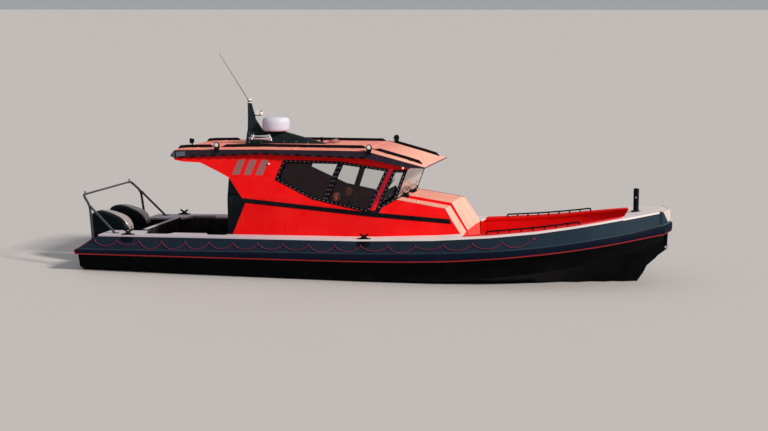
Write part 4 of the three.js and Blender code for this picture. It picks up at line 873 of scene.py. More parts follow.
def makeBollards():
    made, pads = Shape(), Shape()
    long, wide, high = bollards["base"]
    for x in bollards["x"]:
        station = stationAt(x)
        _, y = offset(station, boat["capReach"] - bollards["inset"])
        z = station["cap"]
        made.block((x - long, y - wide, z - 0.002), (x + long, y + wide, z + high))
        for way in (-1, 1):
            foot, head = Vector((x - 0.075 * way, y, z + 0.008)), Vector((x + 0.09 * way, y, z + 0.104))
            along = (head - foot).normalized()
            path = [foot, head - along * 0.012, head - along * 0.004, head]
            made.tube(path, 0.02, 16, reaches=[0.019, 0.0195, 0.017, 0.008])
        made.tube([(x, y - 0.05, z + 0.052), (x, y + 0.05, z + 0.052)], 0.013, 12)
        for dx, dy in grid((-0.1, 0.1), (-0.026, 0.026)):
            made.turned(bollards["bolt"], (x + dx, y + dy, z), segments=6, look=1)
        rows = []
        for k, half in enumerate(bollards["padHalf"]):
            line = ((-half, 0.001), (-half + 0.02, 0.006), (half - 0.02, 0.006), (half, 0.001))
            rows.append([onPanel(x + dx, z - 0.036 - k * 0.021, out) for dx, out in line])
        pads.skin(rows, closed=False, capped=False)
        for dx, dz in grid((-0.09, 0.09), (-0.066, -0.12)):
            pads.turned(bollards["padBolt"], onPanel(x + dx, z + dz, 0.006), (0, -1, 0), 6, look=1)
    makePair("crossBollards", made, ["trimBlack", "steel"], "trim_black", rounded=0.002)
    makePair("bollardPads", pads, ["trimBlack", "rubberBlack"], "trim_black")


# Finding the surface that a fitting sits on
def treeOf(*names):
    points, faces = [], []
    for name in names:
        mesh = nodes[name].data
        start = len(points)
        points += [v.co.copy() for v in mesh.vertices]
        faces += [[start + i for i in p.vertices] for p in mesh.polygons]
    return BVHTree.FromPolygons(points, faces)


def drop(tree, start, way):
    # where a straight line from start first meets the tree, and the normal there
    where, normal, _, _ = tree.ray_cast(Vector(start), Vector(way))
    if where is None:
        return None, None
    return where, normal if normal.dot(Vector(way)) < 0 else -normal


def fromSide(tree, x, z):
    # the same from the starboard side at [x, z]
    return drop(tree, (x, -3, z), (0, 1, 0))


def frameOn(normal, along=(1, 0, 0)):
    # a rotation whose Z is the normal and whose X runs along the surface
    z = Vector(normal).normalized()
    x = (Vector(along) - z * z.dot(Vector(along))).normalized()
    return Matrix((x, z.cross(x), z)).transposed()


# Wheelhouse
windows = {
    # side outlines as [x, z]; the border that the bolts stand in runs round each
    "outlines": [
        [(-1.66, 2.358), (-1.812, 1.963), (-1.004, 1.596), (0.15, 1.372), (0.505, 2.222), (-0.514, 2.35)],
        [(0.262, 1.384), (0.636, 1.6), (0.858, 2.205), (0.606, 2.214)],
    ],
    "border": 0.052,
    "divider": ((-0.425, 2.45), (-0.812, 1.45)),
    "boltPitch": 0.092,
    "bolt": [(0.007, -0.001), (0.007, 0.003), (0.00525, 0.006), (0.0021, 0.0075)],
    "post": (((0.152, 1.372), (0.507, 2.222)), ((0.26, 1.384), (0.604, 2.214))),      # its edges, from foot to head
}


def inset(outline, distance):
    points = [Vector(p) for p in outline]
    area = sum(a.x * b.y - b.x * a.y for a, b in zip(points, points[1:] + points[:1]))
    way = 1 if area > 0 else -1
    made = []
    for i, p in enumerate(points):
        before, after = points[i - 1], points[(i + 1) % len(points)]
        one, two = (Vector((-d.y, d.x)) * way for d in ((p - before).normalized(), (after - p).normalized()))
        middle = (one + two).normalized()
        made.append(p + middle * (distance / middle.dot(one)))
    return made


def spaced(points, pitch):
    # places spread evenly along each side of a closed outline, with the side's direction
    for a, b in zip(points, points[1:] + points[:1]):
        count = max(1, round((b - a).length / pitch))
        for k in range(count):
            yield a.lerp(b, (k + 0.5) / count), (b - a).normalized()


def boltOn(shape, tree, place, way, stretch):
    # a pale oval bolt head where the side is met at place, lying along way
    where, normal = fromSide(tree, *place)
    if where is None:
        return
    turn = frameOn(normal, (way[0], 0, way[1]))
    shape.skin([[where + turn @ Vector((stretch * c, s, h)) for c, s in circle(r, 10)] for r, h in windows["bolt"]])


def makeWindowFittings():
    band = treeOf("cabin_band_starboard", "cabin_side_starboard")
    bolts, gaskets = Shape(), Shape()
    border = windows["border"]
    for outline in windows["outlines"]:
        for point, way in spaced(inset(outline, border / 2), windows["boltPitch"]):
            boltOn(bolts, band, point, way, 2.2)
    (topX, topZ), (lowX, lowZ) = windows["divider"]
    for k in range(1, 9):
        share = 0.14 + 0.086 * k
        x, z = topX + (lowX - topX) * share, topZ + (lowZ - topZ) * share
        for dx in (-0.026, 0.026):
            boltOn(bolts, band, (x + dx, z), (1, 0.25), 2.3)
    for outline in windows["outlines"]:
        inner = inset(outline, border - 0.003)
        edge = []
        for a, b in zip(inner, inner[1:] + inner[:1]):
            for share in (0.02, 0.25, 0.5, 0.75, 0.98):
                where, normal = fromSide(band, *a.lerp(b, share))
                if where is not None and where.y < -0.9:
                    edge.append(where + normal * 0.002)
        gaskets.tube([*edge, edge[0]], 0.006, 6)
    makePair("windowBolts", bolts, "boltPale", "trim_black")
    makePair("windowGaskets", gaskets, "rubberBlack", "trim_black")


def makePostShade():
    # a darker red sheet over the post between the windows, a painted shade
    skin = treeOf("cabin_side_starboard")
    rows = []
    for share in (0.03, 0.35, 0.68, 0.985):
        found = (fromSide(skin, lowX + (highX - lowX) * share, lowZ + (highZ - lowZ) * share)[0]
                 for (lowX, lowZ), (highX, highZ) in windows["post"])
        rows.append([where + Vector((0, -0.0015, 0)) for where in found])
    makePair("windowPostShade", skinned(rows, closed=False, capped=False), "postRed", "rescue_red")


bars = {
    "x": -2.72, "low": 2.045, "high": 2.345, "width": 0.15, "pitch": 0.245, "lean": 0.11, "count": 3, "proud": 0.0012,
}


def makeBars():
    skin = treeOf("cabin_side_starboard")
    made = Shape()
    low, high, width, lean = (bars[key] for key in ("low", "high", "width", "lean"))
    for k in range(bars["count"]):
        x = bars["x"] + bars["pitch"] * k
        corners = [(x, low), (x + width, low), (x + width + lean, high), (x + lean, high)]
        found = [fromSide(skin, *corner) for corner in corners]
        made.plate([where for where, _ in found], found[-1][1] * bars["proud"])
    makePair("sideBars", made, "barGrey", "fascia_grey")


sideLamp = {
    "place": (-1.958, 2.269),
    "rim": [(0.0247, -0.001), (0.0247, 0.01), (0.02185, 0.014)],
    "glass": [(0.019, 0.012), (0.019, 0.024), (0.0152, 0.036), (0.0076, 0.042), (0, 0.044)],
}


def makeSideLamps():
    where, normal = fromSide(treeOf("cabin_side_starboard"), *sideLamp["place"])
    made = Shape()
    made.turned(sideLamp["rim"], where, normal, 20, look=1)
    made.turned(sideLamp["glass"], where, normal, 20)
    makePair("sideLamps", made, ["lampWhite", "steel"], "white_plastic")


# Teeth along the lower edge of the fascia, its after corners, and a pale strip on the roof's forward edge
fascia = {
    "from": -3.78, "to": 0.12, "pitch": 0.222, "length": 0.12, "height": 0.026, "depth": 0.016,
    "corner": ((-3.72, 2.448), (-3.8, 2.44), (-3.9, 2.43), (-3.975, 2.415)),
    "edge": (1.1, 2.262),      # half breadth and height of the strip
}


def fasciaFoot(tree, x):
    # the fascia's lower edge at x on the starboard side, met from below
    found = (drop(tree, (x, 0.003 * k - 1.194, 1.9), (0, 0, 1))[0] for k in range(20))
    return next((where for where in found if where), None)


def makeFascia():
    tree = treeOf("roof_fascia")
    made = Shape()
    half, drip = fascia["length"] / 2, -fascia["height"] / 2
    for k in range(round((fascia["to"] - fascia["from"]) / fascia["pitch"])):
        x = fascia["from"] + fascia["pitch"] * k
        ends = [fasciaFoot(tree, x - half), fasciaFoot(tree, x + half)]
        if None in ends:
            continue
        foot, head = (Vector((p.x, p.y - 0.0105, p.z)) for p in ends)
        outline = [foot + Vector((0, 0, 0.024)), head + Vector((0, 0, 0.024)),
                   head + Vector((-0.01, 0, drip)), foot + Vector((0.01, 0, drip))]
        made.plate(outline, (0, fascia["depth"], 0))
    makePair("fasciaTeeth", made, "rubberBlack", "trim_black", rounded=0.002)

    edge = Shape()
    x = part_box("roof_fascia")[1].x + 0.001
    y, z = fascia["edge"]
    edge.tube([(x, -y, z), (x, y, z)], 0.013, 10)
    makePiece("visorEdge", edge, "cornerGrey", "fascia_grey")

    corner = Shape()
    for side in (-1, 1):
        rows = []
        for x, z in fascia["corner"]:
            found = [drop(tree, (x, 2 * side, z + up), (0, -side, 0))[0] for up in (-0.05, 0.0, 0.048)]
            if None not in found:
                rows.append([(p.x, p.y + 0.0015 * side, p.z) for p in found])
        corner.skin(rows, closed=False, capped=False)
    makePiece("fasciaCorners", corner, "cornerGrey", "fascia_grey")


# Three wipers parked at the foot of the windscreen
wipers = {"y": (-0.62, 0.0, 0.62), "foot": 1.675, "pivot": [(0.018, -0.02), (0.018, 0.01), (0.01, 0.016)]}


def screenX(z):
    return 0.638 + 0.3684 * (z + 0.25 - 1.866)


def makeWipers():
    made = Shape()
    for y in wipers["y"]:
        z = wipers["foot"]
        pivot = Vector((screenX(z) + 0.012, y + 0.18, z))
        made.turned(wipers["pivot"], pivot, (1, 0, -0.37), 16)
        tip = Vector((0, y - 0.14, z + 0.075))
        tip.x = screenX(tip.z) + 0.018
        made.tube([pivot + Vector((0.012, 0, 0)), (pivot + tip) / 2 + Vector((0.012, 0, 0)), tip], 0.004, 8)
        ends = [tip + Vector((0, dy, dz)) for dy, dz in ((-0.2, -0.04), (0.2, 0.048))]
        for end in ends:
            end.x = screenX(end.z) + 0.009
        made.tube([ends[0], tip + Vector((-0.006, 0, 0)), ends[1]], 0.0035, 6)
    makePiece("wipers", made, "trimBlack", "trim_black")


# Helm: screens and levers on the console, a round wheel
helm = {
    "faceLow": (0.06, 1.0), "faceHigh": (0.18, 1.39), "topFore": (0.56, 1.53),
    "screens": ((-0.7, 0.34), (-0.26, 0.42), (0.26, 0.42), (0.68, 0.34)),      # y of the middle, width
    "screenLean": -18,
    "leverBox": ((0.2, 0.02, 1.39), (0.34, 0.1, 1.47)),
    "levers": (0.035, 0.075),
    "wheelY": -0.48,
    "rim": 0.185,
    "hub": [(0.03, 0.0005), (0.03, 0.09), (0.045, 0.115), (0.048, 0.135), (0.03, 0.146), (0, 0.148)],
}


def makeHelmScreens():
    screens = Shape()
    (_, faceZ), (foreX, foreZ) = helm["faceHigh"], helm["topFore"]
    low, high = Vector((foreX - 0.38, 0, faceZ)), Vector((foreX, 0, foreZ))
    slope = (high - low).normalized()
    turn = Matrix.Rotation(math.radians(helm["screenLean"]), 3, "Y")
    for y, width in helm["screens"]:
        foot, half = low + slope * 0.04 + Vector((0, y, 0)), width / 2
        screens.block(foot + Vector((0, -half, 0)), foot + Vector((0.03, half, 0.27)), turn=turn)
        screens.block(foot + Vector((-0.002, 0.015 - half, 0.016)), foot + Vector((0, half - 0.015, 0.254)), look=1,
                      turn=turn, pivot=foot + Vector((0.015, 0, 0.135)))
    screens.block(*helm["leverBox"])
    for y in helm["levers"]:
        screens.tube([(0.27, y, 1.46), (0.22, y, 1.56)], 0.007, 8)
        screens.tube([(0.22, y - 0.012, 1.56), (0.22, y + 0.012, 1.56)], 0.014, 10)
    makePiece("helmScreens", screens, ["trimBlack", "motorDark"], "trim_black", rounded=0.003)


def makeHelmWheel():
    wheel = Shape()
    low, high = (Vector((x, 0, z)) for x, z in (helm["faceLow"], helm["faceHigh"]))
    face = (high - low).normalized()
    out = Vector((-face.z, 0, face.x))
    centre = (low + high) / 2 + Vector((0, helm["wheelY"], 0))
    hub = centre + out * 0.13
    turn = Matrix((face, Vector((0, 1, 0)), out)).transposed()
    rim = [hub + turn @ Vector((c, s, 0)) for c, s in circle(helm["rim"], 48)]
    wheel.tube([*rim, rim[0]], 0.0145, 12)
    for tip in rim[12::16]:
        wheel.tube([hub - out * 0.012, (hub + tip) / 2 - out * 0.01, tip], 0.009, 8, look=1)
    wheel.turned(helm["hub"], centre, out, 24)
    makePiece("helmWheel", wheel, ["rubberBlack", "steel"], "trim_black", replaces=["steering_wheel"])


# Door pane, gasket and handle plate
doorFittings = {
    "half": 0.21, "low": 1.25, "high": 2.0, "aftX": -2.74, "bend": 0.04,
    "plate": ((-0.325, 0.9), (-0.255, 1.16)),      # low and high corner as [y, z]
    "knob": [(0.016, 0), (0.016, 0.006), (0.01, 0.008)],
    "knobPlace": (-0.29, 0.94),
}


def makeDoorFittings():
    half, low, high, aftX, bend = (doorFittings[key] for key in ("half", "low", "high", "aftX", "bend"))
    pane, gasket, plate = Shape(), Shape(), Shape()
    pane.block((aftX + 0.014, -half + 0.001, low + 0.001), (aftX + 0.02, half - 0.001, high - 0.001))
    right, foot, head = half - bend, low + bend, high - bend
    path = []
    for k, (y, z) in enumerate(((-right, foot), (right, foot), (right, head), (-right, head))):
        for step in range(5):
            a = math.radians(180 + 90 * k + 22.5 * step)
            path.append(Vector((aftX - 0.001, y + 0.046 * math.cos(a), z + 0.046 * math.sin(a))))
    gasket.tube([*path, path[0]], 0.009, 8)
    (y, z), corner = doorFittings["plate"]
    plate.block((aftX - 0.003, y, z), (aftX, *corner))
    plate.turned(doorFittings["knob"], (aftX - 0.003, *doorFittings["knobPlace"]), (-1, 0, 0), 16)
    makePiece("doorPane", pane, "windowTint", "window_glass", body="door")
    makePiece("doorGasket", gasket, "rubberBlack", "trim_black", body="door")
    makePiece("doorPlate", plate, "steel", "trim_black", body="door", rounded=0.002)


# Cushions are blown up a little from a plain block, so that they crown between their seams
cushions = {
    # name: low corner, high corner, how far it crowns, tilt in degrees about Y, padding, seams as [axis, place]
    "seat": ((-0.655, -0.24, 0.74), (-0.195, 0.24, 0.85), 0.018, 0, "helm", [(0, -0.54), (0, -0.31)]),
    "back": ((-0.66, -0.22, 0.88), (-0.585, 0.22, 1.3), 0.016, -7.5, "helm", [(2, 1.0), (2, 1.18)]),
    "head": ((-0.765, -0.14, 1.48), (-0.695, 0.14, 1.64), 0.01, -7.5, "helm", []),
    "bench": ((-2.49, -0.23, 0.715), (-1.31, 0.23, 0.79), 0.014, 0, "bench", [(0, -2.2), (0, -1.9), (0, -1.6)]),
    "benchBack": ((-2.49, -0.03, 0.8), (-1.31, 0.03, 1.22), 0.006, 0, "bench", [(0, -2.2), (0, -1.9), (0, -1.6)]),
}
padding = {
    "helm": {"voxel": 0.011, "pressure": 4, "frames": 20, "limit": 0.014, "seam": 0.022, "sewn": 0.009},
    "bench": {"voxel": 0.016, "pressure": 4, "frames": 20, "limit": 0.018, "seam": 0.03, "sewn": 0.012},
}


def crownedBlock(low, high, crown, tilt, segments=14):
    low, high = Vector(low), Vector(high)
    size, middle = high - low, (low + high) / 2
    turn = Matrix.Rotation(math.radians(tilt), 3, "Y")
    made = Shape()
    work = bmesh.new()
    bmesh.ops.create_cube(work, size=1)
    bmesh.ops.subdivide_edges(work, edges=work.edges, cuts=segments, use_grid_fill=True)
    half = [s / 2 for s in size]
    corner = min(size) * 0.36
    points = []
    for v in work.verts:
        p = Vector([v.co[i] * size[i] for i in range(3)])
        core = Vector([max(min(p[i], half[i] - corner), -half[i] + corner) for i in range(3)])
        away = p - core
        if away.length > 1e-6:
            p = core + away.normalized() * min(away.length, corner)
        shares = [1 - (p[i] / half[i]) ** 2 for i in range(3)]
        for i in range(3):
            j, k = [n for n in range(3) if n != i]
            if abs(p[i]) > half[i] * 0.6:
                p[i] += math.copysign(crown * max(shares[j], 0) * max(shares[k], 0), p[i])
        points.append(turn @ p + middle)
    made.add(points, [[v.index for v in f.verts] for f in work.faces])
    work.free()
    return made


def stuffed(shape, pad, channels):
    # a cover blown up a little by the cloth solver; no point goes further than the limit
    mesh = bpy.data.meshes.new("cover")
    mesh.from_pydata(shape.points, [], shape.faces)
    cover = linked("cover", mesh)
    remesh = cover.modifiers.new("remesh", "REMESH")
    remesh.mode = "VOXEL"
    remesh.voxel_size = pad["voxel"]
    base = bpy.data.meshes.new_from_object(cover.evaluated_get(bpy.context.evaluated_depsgraph_get()))
    cover.modifiers.clear()
    cover.data = base
    cloth = cover.modifiers.new("cloth", "CLOTH")
    values = cloth.settings
    values.use_pressure = True
    values.uniform_pressure_force = pad["pressure"]
    values.effector_weights.gravity = 0
    values.quality = 5
    cloth.point_cache.frame_start = 1
    cloth.point_cache.frame_end = pad["frames"]
    for frameNumber in range(1, pad["frames"] + 1):
        bpy.context.scene.frame_set(frameNumber)
    blown = cover.evaluated_get(bpy.context.evaluated_depsgraph_get()).data
    made = Shape()
    points = []
    for rest, v in zip(base.vertices, blown.vertices):
        move = v.co - rest.co
        point = rest.co + move * min(1.0, pad["limit"] / max(move.length, 1e-6))
        for axis, at in channels:
            gap = abs(rest.co[axis] - at)
            if gap < pad["seam"]:
                point = point - rest.normal * pad["sewn"] * (1 - gap / pad["seam"]) ** 2
        points.append(point)
    made.add(points, [list(face.vertices) for face in base.polygons])
    bpy.data.objects.remove(cover)
    bpy.context.scene.frame_set(1)
    return made


seatFrames = {
    "y": 0.48,
    "blocks": ((-0.56, -0.3, 0.12, 0.3503, 0.7), (-0.64, -0.21, 0.225, 0.7, 0.738)),      # aft, fore, half, low, high
    "shell": [(-0.668, 0.86), (-0.655, 0.86), (-0.712, 1.345), (-0.727, 1.345)],      # [x, z]
    "arms": (-0.243, 0.242),
    "armLine": ((-0.665, 0.98), (-0.5, 0.985), (-0.36, 0.98)),      # [x, z]
    "posts": (-0.07, 0.07),
    "bench": ((0.76, 0.3503, 0.712), (1.165, 0.712, 1.23)),      # inner edge, low, high
    "benchY": {"benchCushion": ("bench", 0.955), "benchBack": ("benchBack", 1.132)},
}


def makeSeats():
    covers = {name: stuffed(crownedBlock(low, high, crown, tilt), padding[kind], channels)
              for name, (low, high, crown, tilt, kind, channels) in cushions.items()}

    def cushion(name, label, look, across):
        made = Shape()
        made.add([(x, y + across, z) for x, y, z in covers[name].points], covers[name].faces)
        makePiece(label, made, look, "seat_dark", sharp=60, levels=1)

    for side, way in sides.items():
        y = seatFrames["y"] * way
        seat = Shape()
        for aft, fore, half, low, high in seatFrames["blocks"]:
            seat.block((aft, y - half, low), (fore, y + half, high))
        seat.plate([(x, y - 0.215, z) for x, z in seatFrames["shell"]], (0, 0.43, 0))
        for arm in seatFrames["arms"]:
            seat.tube([(x, y + arm, z) for x, z in seatFrames["armLine"]], 0.018, 12)
        for post in seatFrames["posts"]:
            seat.tube([(-0.712, y + post, 1.3), (-0.727, y + post, 1.54)], 0.009, 10)
        makePiece(f"helmSeatFrame_{side}", seat, "trimBlack", "seat_dark",
                  replaces=[f"helm_seat_{side}"], rounded=0.006)
        for name in ("seat", "back", "head"):
            cushion(name, f"helmCushion_{name}_{side}", "seatRed" if name == "head" else "seatDark", y)
        bench = Shape()
        for inner, low, high in seatFrames["bench"]:
            near, far = sorted((inner * way, 1.225 * way))
            bench.block((-2.5, near, low), (-1.3, far, high))
        makePiece(f"benchBase_{side}", bench, "linerDark", "seat_dark",
                  replaces=[f"cabin_bench_{side}"], rounded=0.008)
        for label, (name, across) in seatFrames["benchY"].items():
            cushion(name, f"{label}_{side}", "seatDark", across * way)


roof = {
    # x, edge top, half breadth, crown
    "rows": [(-4.06, 2.415, 1.15, 0.01), (-3.96, 2.51, 1.2, 0.02), (-3.79, 2.522, 1.205, 0.025),
             (-2.12, 2.566, 1.205, 0.035), (0.06, 2.577, 1.205, 0.035), (0.832, 2.378, 1.15, 0.03),
             (1.235, 2.272, 1.11, 0.015)],
    "boards": ((-4.05, -3.23), (-3.045, -0.02), (0.165, 1.135)),
    "board": (0.86, 0.013, 0.056, 0.1),      # distance from the middle, half thickness, height, slope of the ends
    "boardBolt": [(0.007, 0.004), (0.007, 0.009), (0.004, 0.011)],
    "lid": (-1.15, -0.88, 0.08, 0.46, 0.075),      # aft and fore end, inner and outer edge, height
    "camera": (-1.25, 0.27),
    "seams": (-3.55, -1.45, 0.02),
}


def roofTop(x):
    _, edge, _, crown = rowAt(roof["rows"], x)
    return edge + 0.8 * crown


def rounded(path, bend, steps=6):
    # the same path with its corners rounded off
    points = [Vector(p) for p in path]
    made = [points[0]]
    for before, corner, after in zip(points, points[1:], points[2:]):
        one, two = (corner + way.normalized() * min(bend, way.length * 0.45)
                    for way in (before - corner, after - corner))
        made += [one.lerp(corner, k / steps).lerp(corner.lerp(two, k / steps), k / steps) for k in range(steps + 1)]
    return [*made, points[-1]]


def makeRoofRails():
    y, half, height, slope = roof["board"]
    near, far = -y - half, -y + half
    knees = [row[0] for row in roof["rows"]]
    made = Shape()
    for start, end in roof["boards"]:
        line = [start, *[x for x in knees if start + slope < x < end - slope], end]
        rings = []
        for x in sorted({*line, start + slope, end - slope * 0.6}):
            rise = 0.012 if x in (start, end) else height
            z = roofTop(x) + 0.0005
            rings.append([(x, near, z), (x, far, z), (x, far, z + rise - 0.005), (x, far - 0.004, z + rise),
                          (x, near + 0.004, z + rise), (x, near, z + rise - 0.005)])
        made.skin(rings)
        count = max(2, round((end - start) / 0.5))
        for i, side in grid(range(count), (-1, 1)):
            x = start + (end - start) * (i + 0.5) / count
            edge, z = -y + half * side, roofTop(x)
            low, high = sorted((edge, edge + 0.03 * side))
            made.block((x - 0.03, low, z - 0.01), (x + 0.03, high, z + 0.005))
            made.turned(roof["boardBolt"], (x, edge + 0.016 * side, z), segments=6, look=1)
    first, last = roof["boards"][0][0], roof["boards"][-1][1]
    strip = [first, *[x for x in knees if first + 0.01 < x < last - 0.01], last]
    made.skin([[(x, y, roofTop(x) + up) for y, up in ((near, -0.006), (far, -0.006), (far, 0.007), (near, 0.007))]
               for x in strip])
    makePair("roofBoards", made, ["railDark", "steel"], "trim_black", replaces=["roof_rail"], sharp=25)


def makeRoofDetails():
    aft, fore, inner, outer, height = roof["lid"]
    lid = Shape()
    low, high = roofTop(aft), roofTop(fore)
    outline = [(aft, low - 0.004), (fore, high - 0.004), (fore - 0.02, high + height * 0.35),
               (fore - 0.1, high + height), (aft + 0.14, low + height * 0.9)]
    lid.plate([(x, inner, z) for x, z in outline], (0, outer - inner, 0))
    makePiece("roofVent", lid, "barGrey", "fascia_grey", rounded=0.008)

    small = Shape()
    foot = Vector((*roof["camera"], roofTop(roof["camera"][0])))
    head, aim = foot + Vector((0, 0, 0.074)), (1, 0, 0.1)
    small.turned([(0.046, -0.004), (0.046, 0.012), (0.02, 0.02), (0.018, 0.05)], foot, segments=24)
    small.turned([(0.03, -0.034), (0.04, -0.03), (0.04, 0.028), (0.034, 0.034)], head, aim, 24)
    small.turned([(0.03, 0.0345), (0.024, 0.036), (0, 0.036)], head, aim, 24, look=1)
    makePiece("roofCamera", small, ["trimBlack", "motorDark"], "trim_black", rounded=0.002)

    seams = Shape()
    ridge = ((-0.022, 0.0), (-0.018, 0.0035), (0.018, 0.0035), (0.022, 0.0))
    edgeFall = 0.8 * 0.03 * (1.18 - 0.84) / 0.36
    for x in roof["seams"]:
        top = roofTop(x)
        seams.skin([[(x + dx, y, top - fall + dz) for dx, dz in ridge]
                    for y, fall in ((-1.18, edgeFall), (-0.84, 0.0), (0.84, 0.0), (1.18, edgeFall))])
    makePiece("roofSeams", seams, "rescueRed", "rescue_red", sharp=20)


# Floodlights turned about their own axis, in a yoke: x, y and the way each looks
floodlights = {
    "fore_starboard": (0.13, -1.13, (0, -1)), "fore_port": (0.13, 1.13, (0, 1)),
    "aft_starboard": (-3.04, -1.13, (0, -1)), "aft_port": (-3.04, 1.13, (0, 1)), "stern": (-3.925, -0.23, (-1, 0)),
}
floodlight = {
    "fins": [(0.046, 0), (0.046, 0.004), (0.039, 0.005), (0.039, 0.009)],      # one of four
    "rim": [(0.05, 0.014), (0.056, 0.02), (0.056, 0.042), (0.05, 0.044), (0.046, 0.034), (0.044, 0.033)],
    "lens": [(0.045, 0.031), (0.04, 0.037), (0.026, 0.04), (0, 0.041)],
    "yoke": ((-0.054, 0), (-0.054, -0.045), (-0.04, -0.056), (0.04, -0.056), (0.054, -0.045), (0.054, 0)),
}


def makeFloodlights():
    for name, (x, y, (fx, fy)) in floodlights.items():
        _, z, edge, _ = rowAt(roof["rows"], x)
        z += 0.0003 if fy else 0.012
        made = Shape()
        made.block((x - 0.034, y - 0.034, z - 0.03), (x + 0.034, y + 0.034, z + 0.012), look=1)
        if fy:
            edge = max(1.206, edge + 0.001)
            for half, low, ends in ((0.034, 0.001, (y, fy * (edge + 0.036))),
                                    (0.044, -0.052, (fy * (edge + 0.0005), fy * (edge + 0.038)))):
                near, far = sorted(ends)
                made.block((x - half, near, z + low), (x + half, far, z + 0.044))
        y += 0.06 * fy
        centre, face = Vector((x, y, z + 0.098)), Vector((fx, fy, 0))
        fins = [(r, -0.03 + 0.01 * k + up) for k in range(4) for r, up in floodlight["fins"]]
        made.turned([(0.02, -0.034), (0.036, -0.033), *fins, *floodlight["rim"]], centre, face, 32)
        made.turned(floodlight["lens"], centre, face, 32, look=1)
        across = face.cross(Vector((0, 0, 1)))
        yoke = [centre + across * side + Vector((0, 0, down)) for side, down in floodlight["yoke"]]
        made.tube(rounded(yoke, 0.01, 3), 0.007, 8)
        made.tube([(x, y, z + 0.02), (x, y, z + 0.045)], 0.013, 12)
        makePiece(f"floodlightBody_{name}", made, ["trimBlack", "lampWhite"], "trim_black",
                  replaces=[f"floodlight_{name}"], rounded=0.001)


# Radome, horn and the mast's small parts; profiles are [reach, height]
radome = {
    "place": (-2.16, 0, 2.85),
    "profile": [(0.0, 0.0005), (0.245, 0.0005), (0.262, 0.004), (0.276, 0.018), (0.284, 0.04), (0.287, 0.066),
                (0.2872, 0.098), (0.2835, 0.1005), (0.2835, 0.1055), (0.2872, 0.108), (0.2868, 0.16), (0.284, 0.196),
                (0.276, 0.226), (0.26, 0.252), (0.232, 0.271), (0.19, 0.283), (0.13, 0.2895), (0.06, 0.292),
                (0, 0.2925)],
}
horn = {
    "place": (-2.56, -0.35, 2.725),
    "trumpets": ((-0.05, 0.42, -0.016), (0.05, 0.36, 0.028)),      # distance to the side, length, rise
    "mouth": [(0.0445, -0.002), (0.041, 0), (0.03, -0.014), (0.02, -0.05), (0.012, -0.12)],
    # number of sides, finish, profile
    "driver": [(32, 0, [(0.024, -0.045), (0.033, -0.04), (0.035, -0.028), (0.035, 0.012), (0.03, 0.018),
                        (0.014, 0.022)]),
               (32, 1, [(0.035, -0.022), (0.037, -0.02), (0.037, -0.004), (0.035, -0.002)]),
               (12, 1, [(0.008, -0.057), (0.01, -0.05), (0.01, -0.04)])],
    "postX": -2.565,
}
mastFittings = {
    "top": (-2.728, 0, 3.42),
    "lamp": [(0.043, 0.0), (0.043, 0.01), (0.04, 0.014), (0.04, 0.058), (0.043, 0.062), (0.043, 0.068),
             (0.034, 0.084), (0, 0.092)],
    "lampBand": [(0.044, 0.024), (0.0445, 0.028), (0.0445, 0.044), (0.044, 0.048)],
    "lens": [(0.03, -0.002), (0.03, 0.004), (0.024, 0.005), (0.02, 0.001), (0, 0.0)],
    "dome": [(0.02, 0), (0.034, 0.012), (0.04, 0.032), (0.034, 0.052), (0.02, 0.064), (0, 0.068)],
    "lensPlace": (-2.4915, 0, 3.222),
    "lensBox": ((-2.5925, -0.0445, 3.172), (-2.4915, 0.0445, 3.2725)),
    "domePlace": (-2.475, -0.02, 3.172),
    "pins": (2.62, 2.72),
    "boltX": (-2.7, -2.45, -2.2, -1.95, -1.7, -1.45),
}


def makeRadome():
    dome = Shape()
    dome.turned(radome["profile"], radome["place"], segments=72)
    makePiece("radomeSkin", dome, "radomeWhite", "white_plastic", replaces=["radome"], sharp=50)


def makeHorn():
    made = Shape()
    x, y, z = horn["place"]
    for side, length, rise in horn["trumpets"]:
        bell = [(0.012, 0.0), (0.0125, 0.08)]
        for t in (k / 14 for k in range(15)):
            bell.append((0.013 + 0.009 * t + 0.022 * t ** 3.2, 0.08 + (length - 0.08) * t))
        foot = (x, y + side, z + rise)
        made.turned([*bell, *((r, length + back) for r, back in horn["mouth"])], foot, (1, 0, 0), 32)
        for segments, look, profile in horn["driver"]:
            made.turned(profile, foot, (1, 0, 0), segments, look=look)
    made.block((-2.59, y - 0.062, z - 0.048), (-2.54, y + 0.062, z - 0.03), look=1)
    for side in (-0.05, 0.05):
        made.block((-2.582, y + side - 0.007, z - 0.044), (-2.556, y + side + 0.007, z - 0.006), look=1)
    base = roofTop(horn["postX"])
    made.tube([(horn["postX"], y, base), (horn["postX"], y, z - 0.03)], 0.016, 16, look=1)
    made.turned([(0.05, -0.004), (0.05, 0.008), (0.03, 0.014)], (horn["postX"], y, base), segments=24, look=1)
    makePiece("hornTrumpets", made, ["hornPale", "trimBlack"], "horn_chrome",
              replaces=["horn"], rounded=0.002, sharp=45)


